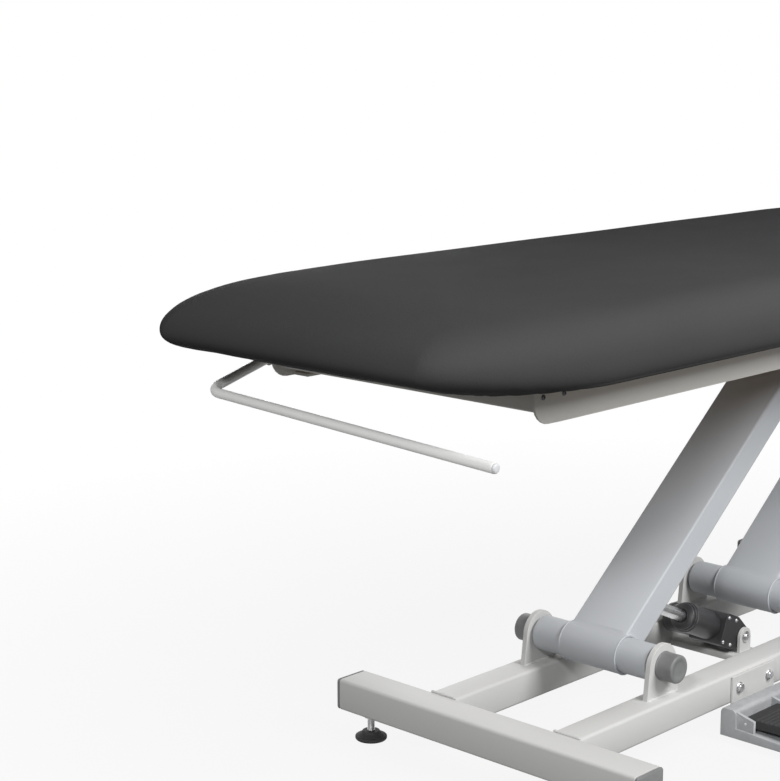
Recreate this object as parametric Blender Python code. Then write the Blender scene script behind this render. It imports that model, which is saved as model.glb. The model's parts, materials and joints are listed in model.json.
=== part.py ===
"""Electric examination table: padded top on a parallel-arm lift, with floor frame and foot switch.

Units are metres, +Z up. X runs along the table, and the paper-roll end is at -X. The table stands at the
height where its lift arms make REST_ANGLE with the floor. Every size that can be set by itself is written
once below, and all places follow from those sizes and the named clearances.
"""

from math import cos, pi, radians, sin, tan

import bmesh
import bpy
import numpy as np
from mathutils import Matrix, Vector

# Clearances
SEAT_GAP = 0.0003
RUN_GAP = 0.0005
SIDE_PLAY = 0.001
WELD_DEPTH = 0.004

# Padded top
PAD_LENGTH = 1.95
PAD_HALF_WIDTH = 0.3275
PAD_CORNER_ALONG = 0.285
PAD_CORNER_ACROSS = 0.100
PAD_CORNER_POWER = 1.84
PAD_UNDER_HEIGHT = 0.040
PAD_OVER_HEIGHT = 0.052
PAD_CROWN = 0.010
PAD_UNDERCUT_SIDE = 0.0236
PAD_UNDERCUT_END = 0.1917
PAD_UNDERCUT_POWER = 2.3
PAD_ROUND_SIDE = 0.0441
PAD_ROUND_END = 0.1544
PAD_LIP_WIDTH = 0.012
PAD_LIP_DEPTH = 0.0045
PAD_CORNER_LEAST = 0.02
PAD_CORNER_STEPS = 10
PAD_EDGE_STEPS = 6
PAD_CROWN_SHARES = (0.3, 0.6, 0.9)

# Board under the pad
BOARD_THICKNESS = 0.0084
BOARD_MARGIN = 0.003

# Bed frame
END_OVERHANG = 0.2087
FRAME_SIDE_INSET = 0.0837
RAIL_WIDTH = 0.030
RAIL_HEIGHT = 0.0485
RAIL_WALL = 0.004
RAIL_WALL_EDGE = 0.0012
RAIL_CORNER = 0.0295
RAIL_EDGE = 0.003
CROSS_SETBACK = 0.0145
CROSS_WIDTH = 0.030
CROSS_RISE = 0.0145
BEARER_WIDTH = 0.070
BEARER_RISE = 0.002

# Rail screws
SCREW_HEAD_RADIUS = 0.0036
SCREW_HEAD_HEIGHT = 0.0022
SCREW_HEAD_SHARES = ((1.0, 0.0), (0.9, 0.6), (0.55, 1.0))
SCREW_FROM_END = 0.017
SCREW_SPACING = 0.042
SCREW_DROP = 0.0122

# Lift pivots and arms
PIVOT_HEIGHT = 0.1435
REAR_PIVOT_INSET = 0.1120
PIVOT_SPACING = 0.430
ARM_LENGTH = 0.674
REST_ANGLE = radians(38.8)
ARM_WIDTH = 0.1054
ARM_DEPTH = 0.050
ARM_EDGE = 0.004
SLEEVE_LENGTH = 0.110
SLEEVE_WALL = 0.0028
SLEEVE_EDGE = 0.001
PIVOT_TUBE_RADIUS = 0.028
TUBE_NECK_RADIUS = 0.022
TUBE_NECK_LENGTH = 0.006
EAR_HALF_SPAN = 0.120
EAR_THICKNESS = 0.009
EAR_RADIUS = 0.0343
EAR_FLARE = 0.006
CAP_RADIUS = 0.023
CAP_LENGTH = 0.029
CAP_ROUND = 0.004
BRACKET_DROP = 0.038
BRACKET_THICKNESS = 0.008
BRACKET_TOP_WIDTH = 0.084
BRACKET_RADIUS = 0.033

# Floor frame
BEAM_WIDTH = 0.050
BEAM_HEIGHT = 0.050
BEAM_EDGE = 0.005
FOOT_BEAM_X = 0.560
FOOT_BEAM_WIDTH = 0.060
FOOT_BEAM_HALF_LENGTH = 0.285
BEAM_BOTTOM = 0.045
PLUG_THICKNESS = 0.006
PLUG_EDGE = 0.0035
LEVEL_INSET = 0.040
LEVEL_PAD_RADIUS = 0.025
LEVEL_PAD_HEIGHT = 0.014
LEVEL_PAD_SHARES = ((1.0, 0.0), (1.0, 0.45), (0.5, 1.0))
LEVEL_STEM_RADIUS = 0.006
LEVEL_NUT_RADIUS = 0.011
LEVEL_NUT_HEIGHT = 0.008

# Lift actuator
ACTUATOR_PIN_AHEAD = 0.3584
ACTUATOR_PIN_Z = 0.0835
ACTUATOR_ARM_REACH = 0.105
ACTUATOR_ARM_DROP = 0.006
ACTUATOR_TUBE_RADIUS = 0.024
ACTUATOR_TUBE_END = 0.140
ACTUATOR_ROD_RADIUS = 0.010
ACTUATOR_ROD_TAIL = 0.085
GEAR_LENGTH = 0.060
GEAR_HALF_WIDTH = 0.032
GEAR_HALF_HEIGHT = 0.028
GEAR_NOSE_SHARE = 0.5
GEAR_SHOULDER_SHARE = 0.4
GEAR_ROUND = 0.004
GEAR_SHOULDER_ROUND = 0.006
MOTOR_RADIUS = 0.024
MOTOR_LENGTH = 0.058
MOTOR_EDGE = 0.004
MOTOR_ALONG = 0.045
EYE_RADIUS = 0.015
EYE_HALF_WIDTH = 0.012
EYE_ROOT_SHARE = 0.7
PIN_RADIUS = 0.006
PIN_HALF_LENGTH = 0.024
PIN_EDGE = 0.001
ARM_POCKET_START = 0.070
ARM_POCKET_END = 0.205
ARM_POCKET_HALF_WIDTH = 0.034
ARM_POCKET_CEILING = 0.006
CLEVIS_THICKNESS = 0.006
CLEVIS_RADIUS = 0.016
CARRIER_WIDTH = 0.060
CARRIER_HEIGHT = 0.012
PIN_HEAD = 0.004
GEAR_BORE_START = 0.024

# Foot switch
SWITCH_WIDTH = 0.210
SWITCH_BRACKET_THICKNESS = 0.004
SWITCH_BRACKET_WIDTH = 0.120
SWITCH_FLOOR_GAP = 0.006
SWITCH_STANDOFF = 0.012
SWITCH_REACH = 0.150
SWITCH_BACK_DEPTH = 0.028
SWITCH_BACK_HEIGHT = 0.046
SWITCH_TOE_HEIGHT = 0.010
SWITCH_HEEL_HEIGHT = 0.017
SWITCH_EDGE = 0.0015
SWITCH_TOE_ROUND = 0.003
SWITCH_BACK_ROUND = 0.008
CHEEK_THICKNESS = 0.006
CHEEK_HEIGHT = 0.026
CHEEK_FRONT_SHARE = 0.5
PEDAL_PIN_RADIUS = 0.0025
PEDAL_PIN_BACK = 0.016
PEDAL_PIN_HEIGHT = 0.012
PEDAL_THICKNESS = 0.008
PEDAL_TOE_GAP = 0.018
PEDAL_LIP = 0.006
PEDAL_ROUND = 0.002
PEDAL_RIBS = 9
PEDAL_RIB_START = 0.006
PEDAL_RIB_PITCH = 0.0083
PEDAL_RIB_WIDTH = 0.0034
PEDAL_RIB_SLOPE = 0.0008
PEDAL_RIB_HEIGHT = 0.0012

# Control box under the top
BOX_LENGTH = 0.170
BOX_WIDTH = 0.120
BOX_HEIGHT = 0.040
BOX_EDGE = 0.006
INLET_WIDTH = 0.028
INLET_HEIGHT = 0.022
INLET_DEPTH = 0.020
INLET_WELL = 0.016
INLET_WALL = 0.002

# Paper-roll rod, with places measured from the paper-roll end of the rails
ROLL_ROD_RADIUS = 0.007
ROLL_ROD_BEND = 0.024
ROLL_ROD_REACH = 0.1095
ROLL_ROD_DROP = 0.0035
ROLL_ROD_SPAN = 0.544
ROLL_ROD_SAG = 0.0268
ROLL_ROD_RISE = 0.2758
ROLL_ROD_TIP_ROUND = 0.003
SOCKET_WALL = 0.003
SOCKET_WELD = 0.001
SOCKET_START = 0.002
SOCKET_LENGTH = 0.032
KNOB_RADIUS = 0.011
KNOB_LENGTH = 0.014
KNOB_LOBES = 6
KNOB_LOBE_DEPTH = 0.0012
KNOB_LOBE_STEPS = 8
KNOB_EDGE = 0.0008
KNOB_STEM_RADIUS = 0.003
KNOB_STEM_LENGTH = 0.006

# Derived places
RAIL_END_X = -PAD_LENGTH / 2 + END_OVERHANG
RAIL_BOTTOM = PIVOT_HEIGHT + ARM_LENGTH * sin(REST_ANGLE) + BRACKET_DROP
RAIL_TOP = RAIL_BOTTOM + RAIL_HEIGHT
BOARD_BOTTOM = RAIL_TOP + SEAT_GAP
BOARD_TOP = BOARD_BOTTOM + BOARD_THICKNESS
POCKET_CEILING = BOARD_TOP + SEAT_GAP
PAD_BOTTOM = POCKET_CEILING - PAD_LIP_DEPTH
PAD_NOSE = PAD_BOTTOM + PAD_UNDER_HEIGHT
PAD_EDGE_TOP = PAD_NOSE + PAD_OVER_HEIGHT
FRAME_HALF_WIDTH = PAD_HALF_WIDTH - FRAME_SIDE_INSET
RAIL_INNER = FRAME_HALF_WIDTH - RAIL_WIDTH
RAIL_WALL_INNER = FRAME_HALF_WIDTH - RAIL_WALL
FLANGE_END = -RAIL_END_X - CROSS_SETBACK - CROSS_WIDTH - SEAT_GAP
BEAM_TOP = BEAM_BOTTOM + BEAM_HEIGHT
SLEEVE_BORE = PIVOT_TUBE_RADIUS + RUN_GAP
SLEEVE_RADIUS = SLEEVE_BORE + SLEEVE_WALL
UPPER_Z = RAIL_BOTTOM - BRACKET_DROP
ARM_SHIFT = ARM_LENGTH * cos(REST_ANGLE)
REAR_UPPER_X = -RAIL_END_X - REAR_PIVOT_INSET
UPPER_X = (REAR_UPPER_X - PIVOT_SPACING, REAR_UPPER_X)
LOWER_X = (UPPER_X[0] - ARM_SHIFT, UPPER_X[1] - ARM_SHIFT)
ACTUATOR_PIN_X = LOWER_X[0] + ACTUATOR_PIN_AHEAD
SWITCH_X = (LOWER_X[0] + LOWER_X[1]) / 2
BOX_CENTRE_X = (UPPER_X[0] + UPPER_X[1]) / 2
EAR_INNER = EAR_HALF_SPAN - EAR_THICKNESS / 2
EAR_OUTER = EAR_HALF_SPAN + EAR_THICKNESS / 2
BRACKET_INNER = SLEEVE_LENGTH / 2 + SIDE_PLAY
BRACKET_OUTER = BRACKET_INNER + BRACKET_THICKNESS
BEAM_INNER = EAR_HALF_SPAN - BEAM_WIDTH / 2
BEAM_OUTER = EAR_HALF_SPAN + BEAM_WIDTH / 2

SIDES = (("near", -1.0), ("far", 1.0))
ROUND_SIDES = 40
MEDIUM_SIDES = 32
SMALL_SIDES = 20
PIN_SIDES = 16
NUT_SIDES = 6
ARC_STEPS = 6
EDGE_STEPS = 3
BEND_STEPS = 8
SHARP_ANGLE = radians(35.0)
BEVEL_ANGLE = radians(40.0)


def clear_scene():
    """Remove every object, so that the model starts from nothing."""
    for item in list(bpy.data.objects):
        bpy.data.objects.remove(item, do_unlink=True)


def material(name, colour, roughness, metallic=0.0):
    """Principled material with one colour, roughness and metallic value."""
    made = bpy.data.materials.new(name)
    made.use_nodes = True
    shader = made.node_tree.nodes["Principled BSDF"]
    shader.inputs["Base Color"].default_value = (*colour, 1.0)
    shader.inputs["Roughness"].default_value = roughness
    shader.inputs["Metallic"].default_value = metallic
    made.diffuse_color = (*colour, 1.0)
    return made


def place(name, mesh_data, look, origin=(0.0, 0.0, 0.0), turn=None):
    """Link a named object whose faces are smooth except at edges sharper than SHARP_ANGLE."""
    mesh = bpy.data.meshes.new(name)
    mesh_data.normal_update()
    mesh_data.to_mesh(mesh)
    mesh_data.free()
    mesh.shade_smooth()
    mesh.set_sharp_from_angle(angle=SHARP_ANGLE)
    made = bpy.data.objects.new(name, mesh)
    if turn is not None:
        made.rotation_euler = turn.to_euler()
    made.location = origin
    if look is not None:
        mesh.materials.append(look)
    bpy.context.scene.collection.objects.link(made)
    return made


def add_bevel(item, width, segments=2):
    """Round an object's sharp edges."""
    bevel = item.modifiers.new("edge", "BEVEL")
    bevel.width = width
    bevel.segments = segments
    bevel.limit_method = "ANGLE"
    bevel.angle_limit = BEVEL_ANGLE
    return item


def cutter(name, mesh_data, origin=(0.0, 0.0, 0.0), turn=None):
    """Object that only shapes another one."""
    made = place(name, mesh_data, None, origin, turn)
    made.hide_render = True
    made.display_type = "WIRE"
    return made


def unite(item, name, mesh_data, origin=(0.0, 0.0, 0.0), turn=None):
    """Weld a further solid to an object."""
    return combine(item, cutter(name, mesh_data, origin, turn), "UNION")


def combine(item, other, operation):
    """Join another solid to an object, or cut it away."""
    change = item.modifiers.new(other.name, "BOOLEAN")
    change.operation = operation
    change.solver = "EXACT"
    change.object = other
    return item


def rounded_outline(corners, steps=ARC_STEPS):
    """Closed outline through (x, y, radius) corners, each replaced by an arc of its radius."""
    outline = []
    count = len(corners)
    for index, (px, py, radius) in enumerate(corners):
        point = Vector((px, py))
        if radius == 0.0:
            outline.append(point)
            continue
        back = (Vector(corners[index - 1][:2]) - point).normalized()
        ahead = (Vector(corners[(index + 1) % count][:2]) - point).normalized()
        half = back.angle(ahead) / 2
        centre = point + (back + ahead).normalized() * (radius / sin(half))
        start = point + back * (radius / tan(half)) - centre
        sweep = start.angle_signed(point + ahead * (radius / tan(half)) - centre)
        for step in range(steps + 1):
            outline.append(centre + Matrix.Rotation(-sweep * step / steps, 2) @ start)
    return outline


def add_prism(bm, outline, low, high, axis="Y"):
    """Extrude a plane outline along an axis; its two numbers are the other axes in X, Y, Z order."""
    slot = "XYZ".index(axis)
    rings = []
    for level in (low, high):
        ring = []
        for point in outline:
            place_at = [point[0], point[1]]
            place_at.insert(slot, level)
            ring.append(bm.verts.new(place_at))
        rings.append(ring)
    faces = [bm.faces.new(rings[0]), bm.faces.new(rings[1])]
    count = len(outline)
    for index in range(count):
        following = (index + 1) % count
        corners = (rings[0][index], rings[0][following], rings[1][following], rings[1][index])
        faces.append(bm.faces.new(corners))
    bmesh.ops.recalc_face_normals(bm, faces=faces)
    return bm


def prism(outline, low, high, axis="Y"):
    """One extruded outline as a new mesh."""
    return add_prism(bmesh.new(), outline, low, high, axis)


def add_box(bm, low, high):
    """Box between two corners."""
    outline = [(low[0], low[2]), (high[0], low[2]), (high[0], high[2]), (low[0], high[2])]
    return add_prism(bm, outline, low[1], high[1])


def box(low, high):
    """One box as a new mesh."""
    return add_box(bmesh.new(), low, high)


def aim(axis):
    """Rotation that turns +Z to an axis."""
    return Vector((0.0, 0.0, 1.0)).rotation_difference(Vector(axis)).to_matrix()


def add_turned(bm, profile, origin, axis, sides=ROUND_SIDES):
    """Turn (radius, height) points about an axis; a profile that starts off the axis makes a ring."""
    frame = Matrix.Translation(Vector(origin)) @ aim(axis).to_4x4()
    rings = []
    for radius, height in profile:
        ring = []
        if radius == 0.0:
            ring = [bm.verts.new(frame @ Vector((0.0, 0.0, height)))] * sides
        else:
            for side in range(sides):
                angle = 2 * pi * side / sides
                ring.append(bm.verts.new(frame @ Vector((radius * cos(angle), radius * sin(angle), height))))
        rings.append(ring)
    closed = profile[0][0] > 0.0
    pairs = list(zip(rings, rings[1:]))
    if closed:
        pairs.append((rings[-1], rings[0]))
    faces = []
    for lower, upper in pairs:
        for side in range(sides):
            following = (side + 1) % sides
            corners = [lower[side], lower[following], upper[following], upper[side]]
            faces.append(bm.faces.new(list(dict.fromkeys(corners))))
    bmesh.ops.recalc_face_normals(bm, faces=faces)
    return bm


def rod_profile(radius, length, edge=0.0):
    """Solid cylinder whose two rims are chamfered."""
    if edge == 0.0:
        return [(0.0, 0.0), (radius, 0.0), (radius, length), (0.0, length)]
    return [(0.0, 0.0), (radius - edge, 0.0), (radius, edge), (radius, length - edge),
            (radius - edge, length), (0.0, length)]


def shaped_profile(shares, radius, height):
    """Solid turned shape whose outline is given as shares of its radius and height."""
    outline = [(radius * out, height * up) for out, up in shares]
    return [(0.0, outline[0][1]), *outline, (0.0, outline[-1][1])]


def tube_profile(outer, inner, low, high):
    """Ring section of a tube."""
    return [(inner, low), (outer, low), (outer, high), (inner, high)]


def pad_ring(end_inset, side_inset, height):
    """Outline of the top at one level: straight sides and ends joined by superellipse corners."""
    half_width = PAD_HALF_WIDTH - side_inset
    half_length = PAD_LENGTH / 2 - end_inset
    along = max(PAD_CORNER_ALONG - end_inset, PAD_CORNER_LEAST)
    across = max(PAD_CORNER_ACROSS - side_inset, PAD_CORNER_LEAST)
    angles = np.linspace(0.0, pi / 2, PAD_CORNER_STEPS + 1)
    corner_x = half_length - along + along * np.cos(angles) ** (2 / PAD_CORNER_POWER)
    corner_y = half_width - across + across * np.sin(angles) ** (2 / PAD_CORNER_POWER)
    quarter_x = np.concatenate(([half_length], corner_x, [(half_length - along) / 2]))
    quarter_y = np.concatenate(([(half_width - across) / 2], corner_y, [half_width]))
    half_x = np.concatenate((quarter_x, [0.0], -quarter_x[::-1]))
    half_y = np.concatenate((quarter_y, [half_width], quarter_y[::-1]))
    ring_x = np.concatenate(([half_length], half_x, [-half_length], half_x[::-1]))
    ring_y = np.concatenate(([0.0], half_y, [0.0], -half_y[::-1]))
    return np.column_stack((ring_x, ring_y, np.full(len(ring_x), height)))


def skin(rings):
    """Closed solid through a stack of equal rings, with flat ends."""
    bm = bmesh.new()
    rows = [[bm.verts.new(point) for point in ring] for ring in rings]
    count = len(rows[0])
    for lower, upper in zip(rows, rows[1:]):
        for index in range(count):
            following = (index + 1) % count
            bm.faces.new((lower[index], lower[following], upper[following], upper[index]))
    bm.faces.new(rows[0])
    bm.faces.new(rows[-1])
    bmesh.ops.recalc_face_normals(bm, faces=bm.faces)
    return bm


def make_pad(look):
    """Cushion: lip round the board, undercut sides, rounded shoulder and a crown along the middle."""
    lip_end = PAD_UNDERCUT_END + PAD_LIP_WIDTH
    lip_side = PAD_UNDERCUT_SIDE + PAD_LIP_WIDTH
    rings = [pad_ring(lip_end, lip_side, POCKET_CEILING), pad_ring(lip_end, lip_side, PAD_BOTTOM)]
    for angle in np.linspace(0.0, pi / 2, PAD_EDGE_STEPS + 1):
        share = 1.0 - sin(angle) ** (2 / PAD_UNDERCUT_POWER)
        height = PAD_NOSE - PAD_UNDER_HEIGHT * max(cos(angle), 0.0) ** (2 / PAD_UNDERCUT_POWER)
        rings.append(pad_ring(share * PAD_UNDERCUT_END, share * PAD_UNDERCUT_SIDE, height))
    for angle in np.linspace(0.0, pi / 2, PAD_EDGE_STEPS + 1)[1:]:
        share = 1.0 - cos(angle)
        height = PAD_NOSE + PAD_OVER_HEIGHT * sin(angle)
        rings.append(pad_ring(share * PAD_ROUND_END, share * PAD_ROUND_SIDE, height))
    for share in PAD_CROWN_SHARES:
        inset = share * (PAD_HALF_WIDTH - PAD_ROUND_SIDE)
        lift = PAD_CROWN * (1.0 - (1.0 - share) ** 2)
        rings.append(pad_ring(PAD_ROUND_END + inset, PAD_ROUND_SIDE + inset, PAD_EDGE_TOP + lift))
    place("main_pad", skin(rings), look)


def make_board(look):
    """Board that closes the underside of the pad and sits in its lip."""
    end = PAD_UNDERCUT_END + PAD_LIP_WIDTH + BOARD_MARGIN
    side = PAD_UNDERCUT_SIDE + PAD_LIP_WIDTH + BOARD_MARGIN
    place("pad_board", skin([pad_ring(end, side, BOARD_BOTTOM), pad_ring(end, side, BOARD_TOP)]), look)


def make_rails(look):
    """Side rails: a wall with round lower corners, and two flanges that stop at the cross members."""
    end = -RAIL_END_X
    corners = [(-end, RAIL_BOTTOM, RAIL_CORNER), (end, RAIL_BOTTOM, RAIL_CORNER),
               (end, RAIL_TOP, RAIL_WALL_EDGE), (-end, RAIL_TOP, RAIL_WALL_EDGE)]
    outline = rounded_outline(corners)
    rails = {}
    for label, side in SIDES:
        low, high = sorted((side * RAIL_WALL_INNER, side * FRAME_HALF_WIDTH))
        rail = add_bevel(place(f"rail_{label}", prism(outline, low, high), look), RAIL_WALL_EDGE)
        low, high = sorted((side * RAIL_INNER, side * (RAIL_WALL_INNER + WELD_DEPTH)))
        for level, bottom in (("lower", RAIL_BOTTOM), ("upper", RAIL_TOP - RAIL_WALL)):
            solid = box((-FLANGE_END, low, bottom), (FLANGE_END, high, bottom + RAIL_WALL))
            unite(rail, f"rail_{label}_{level}_flange", solid)
        rails[label] = rail
    return rails


def make_cross_members(look):
    """End cross members, set back from the rail ends, and bearers with brackets for the upper pivots."""
    half = RAIL_WALL_INNER - SEAT_GAP
    outer = -RAIL_END_X - CROSS_SETBACK
    for name, side in (("end_cross_roll", -1.0), ("end_cross_head", 1.0)):
        low, high = sorted((side * (outer - CROSS_WIDTH), side * outer))
        solid = box((low, -half, RAIL_BOTTOM + CROSS_RISE), (high, half, RAIL_TOP))
        add_bevel(place(name, solid, look), RAIL_EDGE)
    half = RAIL_INNER - SEAT_GAP
    foot = RAIL_BOTTOM + BEARER_RISE
    for name, middle in zip(("bearer_front", "bearer_rear"), UPPER_X):
        low = (middle - BEARER_WIDTH / 2, -half, foot)
        high = (middle + BEARER_WIDTH / 2, half, RAIL_TOP)
        bearer = add_bevel(place(name, box(low, high), look), RAIL_EDGE)
        outline = ear_outline(middle, UPPER_Z, foot + WELD_DEPTH, BRACKET_RADIUS, BRACKET_TOP_WIDTH / 2)
        for label, side in SIDES:
            low_y, high_y = sorted((side * BRACKET_INNER, side * BRACKET_OUTER))
            unite(bearer, f"{name}_bracket_{label}", prism(outline, low_y, high_y))


def make_rail_screws(look):
    """Two button-head screws at each rail end, except where the paper-roll socket sits."""
    profile = shaped_profile(SCREW_HEAD_SHARES, SCREW_HEAD_RADIUS, SCREW_HEAD_HEIGHT)
    for label, side, end in (("near_roll", -1.0, 1.0), ("near_head", -1.0, -1.0), ("far_head", 1.0, -1.0)):
        for order, step in (("outer", 0), ("inner", 1)):
            along = end * (RAIL_END_X + SCREW_FROM_END + step * SCREW_SPACING)
            origin = (along, side * (FRAME_HALF_WIDTH + SEAT_GAP), RAIL_TOP - SCREW_DROP)
            screw = add_turned(bmesh.new(), profile, (0.0, 0.0, 0.0), (0.0, side, 0.0), SMALL_SIDES)
            place(f"rail_screw_{label}_{order}", screw, look, origin)


def ear_outline(middle, top_z, foot_z, radius, foot_half):
    """Plate with a round end about a pivot at (middle, top_z) and a straight foot at foot_z."""
    rise = 1.0 if top_z > foot_z else -1.0
    outline = [(middle + foot_half, foot_z)]
    for angle in np.linspace(0.0, pi, PIN_SIDES + 1):
        outline.append((middle + radius * cos(angle), top_z + rise * radius * sin(angle)))
    outline.append((middle - foot_half, foot_z))
    return outline


def necked_profile(half):
    """Profile of a pivot tube of the given half length that is turned down to a neck at both ends."""
    start = TUBE_NECK_LENGTH
    end = 2 * half - TUBE_NECK_LENGTH
    return [(0.0, 0.0), (TUBE_NECK_RADIUS, 0.0), (TUBE_NECK_RADIUS, start), (PIVOT_TUBE_RADIUS, start),
            (PIVOT_TUBE_RADIUS, end), (TUBE_NECK_RADIUS, end), (TUBE_NECK_RADIUS, 2 * half), (0.0, 2 * half)]


def make_pivots(steel, dark):
    """Tubes and caps of the lower and upper pivots."""
    cap = [(0.0, 0.0), (CAP_RADIUS, 0.0), (CAP_RADIUS, CAP_LENGTH - CAP_ROUND)]
    for angle in np.linspace(0.0, pi / 2, EDGE_STEPS + 1)[1:]:
        cap.append((CAP_RADIUS - CAP_ROUND * (1.0 - cos(angle)), CAP_LENGTH - CAP_ROUND * (1.0 - sin(angle))))
    cap.append((0.0, CAP_LENGTH))
    for level, places, height, inner, outer in (("lower", LOWER_X, PIVOT_HEIGHT, EAR_INNER, EAR_OUTER),
                                                ("upper", UPPER_X, UPPER_Z, BRACKET_INNER, BRACKET_OUTER)):
        half = inner - SEAT_GAP
        profile = necked_profile(half) if level == "lower" else rod_profile(PIVOT_TUBE_RADIUS, 2 * half)
        for row, middle in zip(("front", "rear"), places):
            tube = add_turned(bmesh.new(), profile, (0.0, -half, 0.0), (0.0, 1.0, 0.0))
            place(f"{level}_tube_{row}", tube, steel, (middle, 0.0, height))
            for label, side in SIDES:
                solid = add_turned(bmesh.new(), cap, (0.0, 0.0, 0.0), (0.0, side, 0.0), MEDIUM_SIDES)
                place(f"{level}_cap_{row}_{label}", solid, dark, (middle, side * (outer + SEAT_GAP), height))


def make_arm(name, middle, look, pocket):
    """Lift arm: box section welded between two bored sleeves, built along +X and raised to the rest angle."""
    origin = (middle, 0.0, PIVOT_HEIGHT)
    turn = Matrix.Rotation(-REST_ANGLE, 3, "Y")
    half = ARM_WIDTH / 2
    section = rounded_outline([(-half, -ARM_DEPTH / 2, ARM_EDGE), (half, -ARM_DEPTH / 2, ARM_EDGE),
                               (half, ARM_DEPTH / 2, ARM_EDGE), (-half, ARM_DEPTH / 2, ARM_EDGE)], EDGE_STEPS)
    arm = place(name, prism(section, 0.0, ARM_LENGTH, "X"), look, origin, turn)
    across = (0.0, 1.0, 0.0)
    for end, along in (("lower", 0.0), ("upper", ARM_LENGTH)):
        start = (along, -SLEEVE_LENGTH / 2, 0.0)
        solid = add_turned(bmesh.new(), rod_profile(SLEEVE_RADIUS, SLEEVE_LENGTH, SLEEVE_EDGE), start, across)
        unite(arm, f"{name}_{end}_sleeve", solid, origin, turn)
    for end, along in (("lower", 0.0), ("upper", ARM_LENGTH)):
        start = (along, -SLEEVE_LENGTH, 0.0)
        solid = add_turned(bmesh.new(), rod_profile(SLEEVE_BORE, 2 * SLEEVE_LENGTH), start, across)
        combine(arm, cutter(f"{name}_{end}_bore", solid, origin, turn), "DIFFERENCE")
    if pocket:
        low = (ARM_POCKET_START, -ARM_POCKET_HALF_WIDTH, -ARM_DEPTH)
        high = (ARM_POCKET_END, ARM_POCKET_HALF_WIDTH, ARM_DEPTH / 2 - ARM_POCKET_CEILING)
        combine(arm, cutter(f"{name}_pocket", box(low, high), origin, turn), "DIFFERENCE")


def make_floor_frame(paint, plastic, rubber, steel):
    """Long beams with welded pivot ears, foot beams with end plugs, and a levelling foot at each corner."""
    inner_end = FOOT_BEAM_X - FOOT_BEAM_WIDTH / 2 - SEAT_GAP
    for label, side in SIDES:
        low, high = sorted((side * BEAM_INNER, side * BEAM_OUTER))
        beam = place(f"base_beam_{label}", prism(beam_section(low, high), -inner_end, inner_end, "X"), paint)
        low, high = sorted((side * EAR_INNER, side * EAR_OUTER))
        for row, middle in zip(("front", "rear"), LOWER_X):
            foot = BEAM_TOP - WELD_DEPTH
            outline = ear_outline(middle, PIVOT_HEIGHT, foot, EAR_RADIUS, EAR_RADIUS + EAR_FLARE)
            unite(beam, f"base_ear_{row}_{label}", prism(outline, low, high))
    for end, direction in (("roll", -1.0), ("head", 1.0)):
        middle = direction * FOOT_BEAM_X
        section = beam_section(middle - FOOT_BEAM_WIDTH / 2, middle + FOOT_BEAM_WIDTH / 2)
        place(f"foot_beam_{end}", prism(section, -FOOT_BEAM_HALF_LENGTH, FOOT_BEAM_HALF_LENGTH), paint)
        for label, side in SIDES:
            near = FOOT_BEAM_HALF_LENGTH + SEAT_GAP
            edges = sorted((side * near, side * (near + PLUG_THICKNESS)))
            plug = prism(section, edges[0], edges[1])
            add_bevel(place(f"foot_plug_{end}_{label}", plug, plastic), PLUG_EDGE)
            corner = (middle, side * (FOOT_BEAM_HALF_LENGTH - LEVEL_INSET), 0.0)
            make_levelling_foot(f"{end}_{label}", corner, rubber, steel)


def beam_section(low, high):
    """Section of a floor beam between two places across it, with rounded corners."""
    return rounded_outline([(low, BEAM_BOTTOM, BEAM_EDGE), (high, BEAM_BOTTOM, BEAM_EDGE),
                            (high, BEAM_TOP, BEAM_EDGE), (low, BEAM_TOP, BEAM_EDGE)], EDGE_STEPS)


def make_levelling_foot(label, corner, rubber, steel):
    """Rubber foot under a threaded stem with its lock nut."""
    up = (0.0, 0.0, 1.0)
    profile = shaped_profile(LEVEL_PAD_SHARES, LEVEL_PAD_RADIUS, LEVEL_PAD_HEIGHT)
    pad = add_turned(bmesh.new(), profile, (0.0, 0.0, 0.0), up, MEDIUM_SIDES)
    place(f"level_pad_{label}", pad, rubber, corner)
    bottom = LEVEL_PAD_HEIGHT + SEAT_GAP
    top = BEAM_BOTTOM - SEAT_GAP
    stem_bottom = (0.0, 0.0, bottom)
    stem = add_turned(bmesh.new(), rod_profile(LEVEL_STEM_RADIUS, top - bottom), stem_bottom, up, SMALL_SIDES)
    foot = place(f"level_stem_{label}", stem, steel, corner)
    nut_bottom = (0.0, 0.0, top - LEVEL_NUT_HEIGHT)
    nut = add_turned(bmesh.new(), rod_profile(LEVEL_NUT_RADIUS, LEVEL_NUT_HEIGHT), nut_bottom, up, NUT_SIDES)
    unite(foot, f"level_nut_{label}", nut, corner)


def actuator_frame():
    """Place and aim of the actuator: from its floor pin to the pin in the front arm."""
    floor_pin = Vector((ACTUATOR_PIN_X, 0.0, ACTUATOR_PIN_Z))
    arm_turn = Matrix.Rotation(-REST_ANGLE, 3, "Y")
    arm_pin = Vector((LOWER_X[0], 0.0, PIVOT_HEIGHT))
    arm_pin += arm_turn @ Vector((ACTUATOR_ARM_REACH, 0.0, -ACTUATOR_ARM_DROP))
    reach = arm_pin - floor_pin
    along = reach.normalized()
    side = Vector((0.0, 1.0, 0.0))
    turn = Matrix((along, side, along.cross(side))).transposed()
    return floor_pin, reach.length, turn


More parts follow.
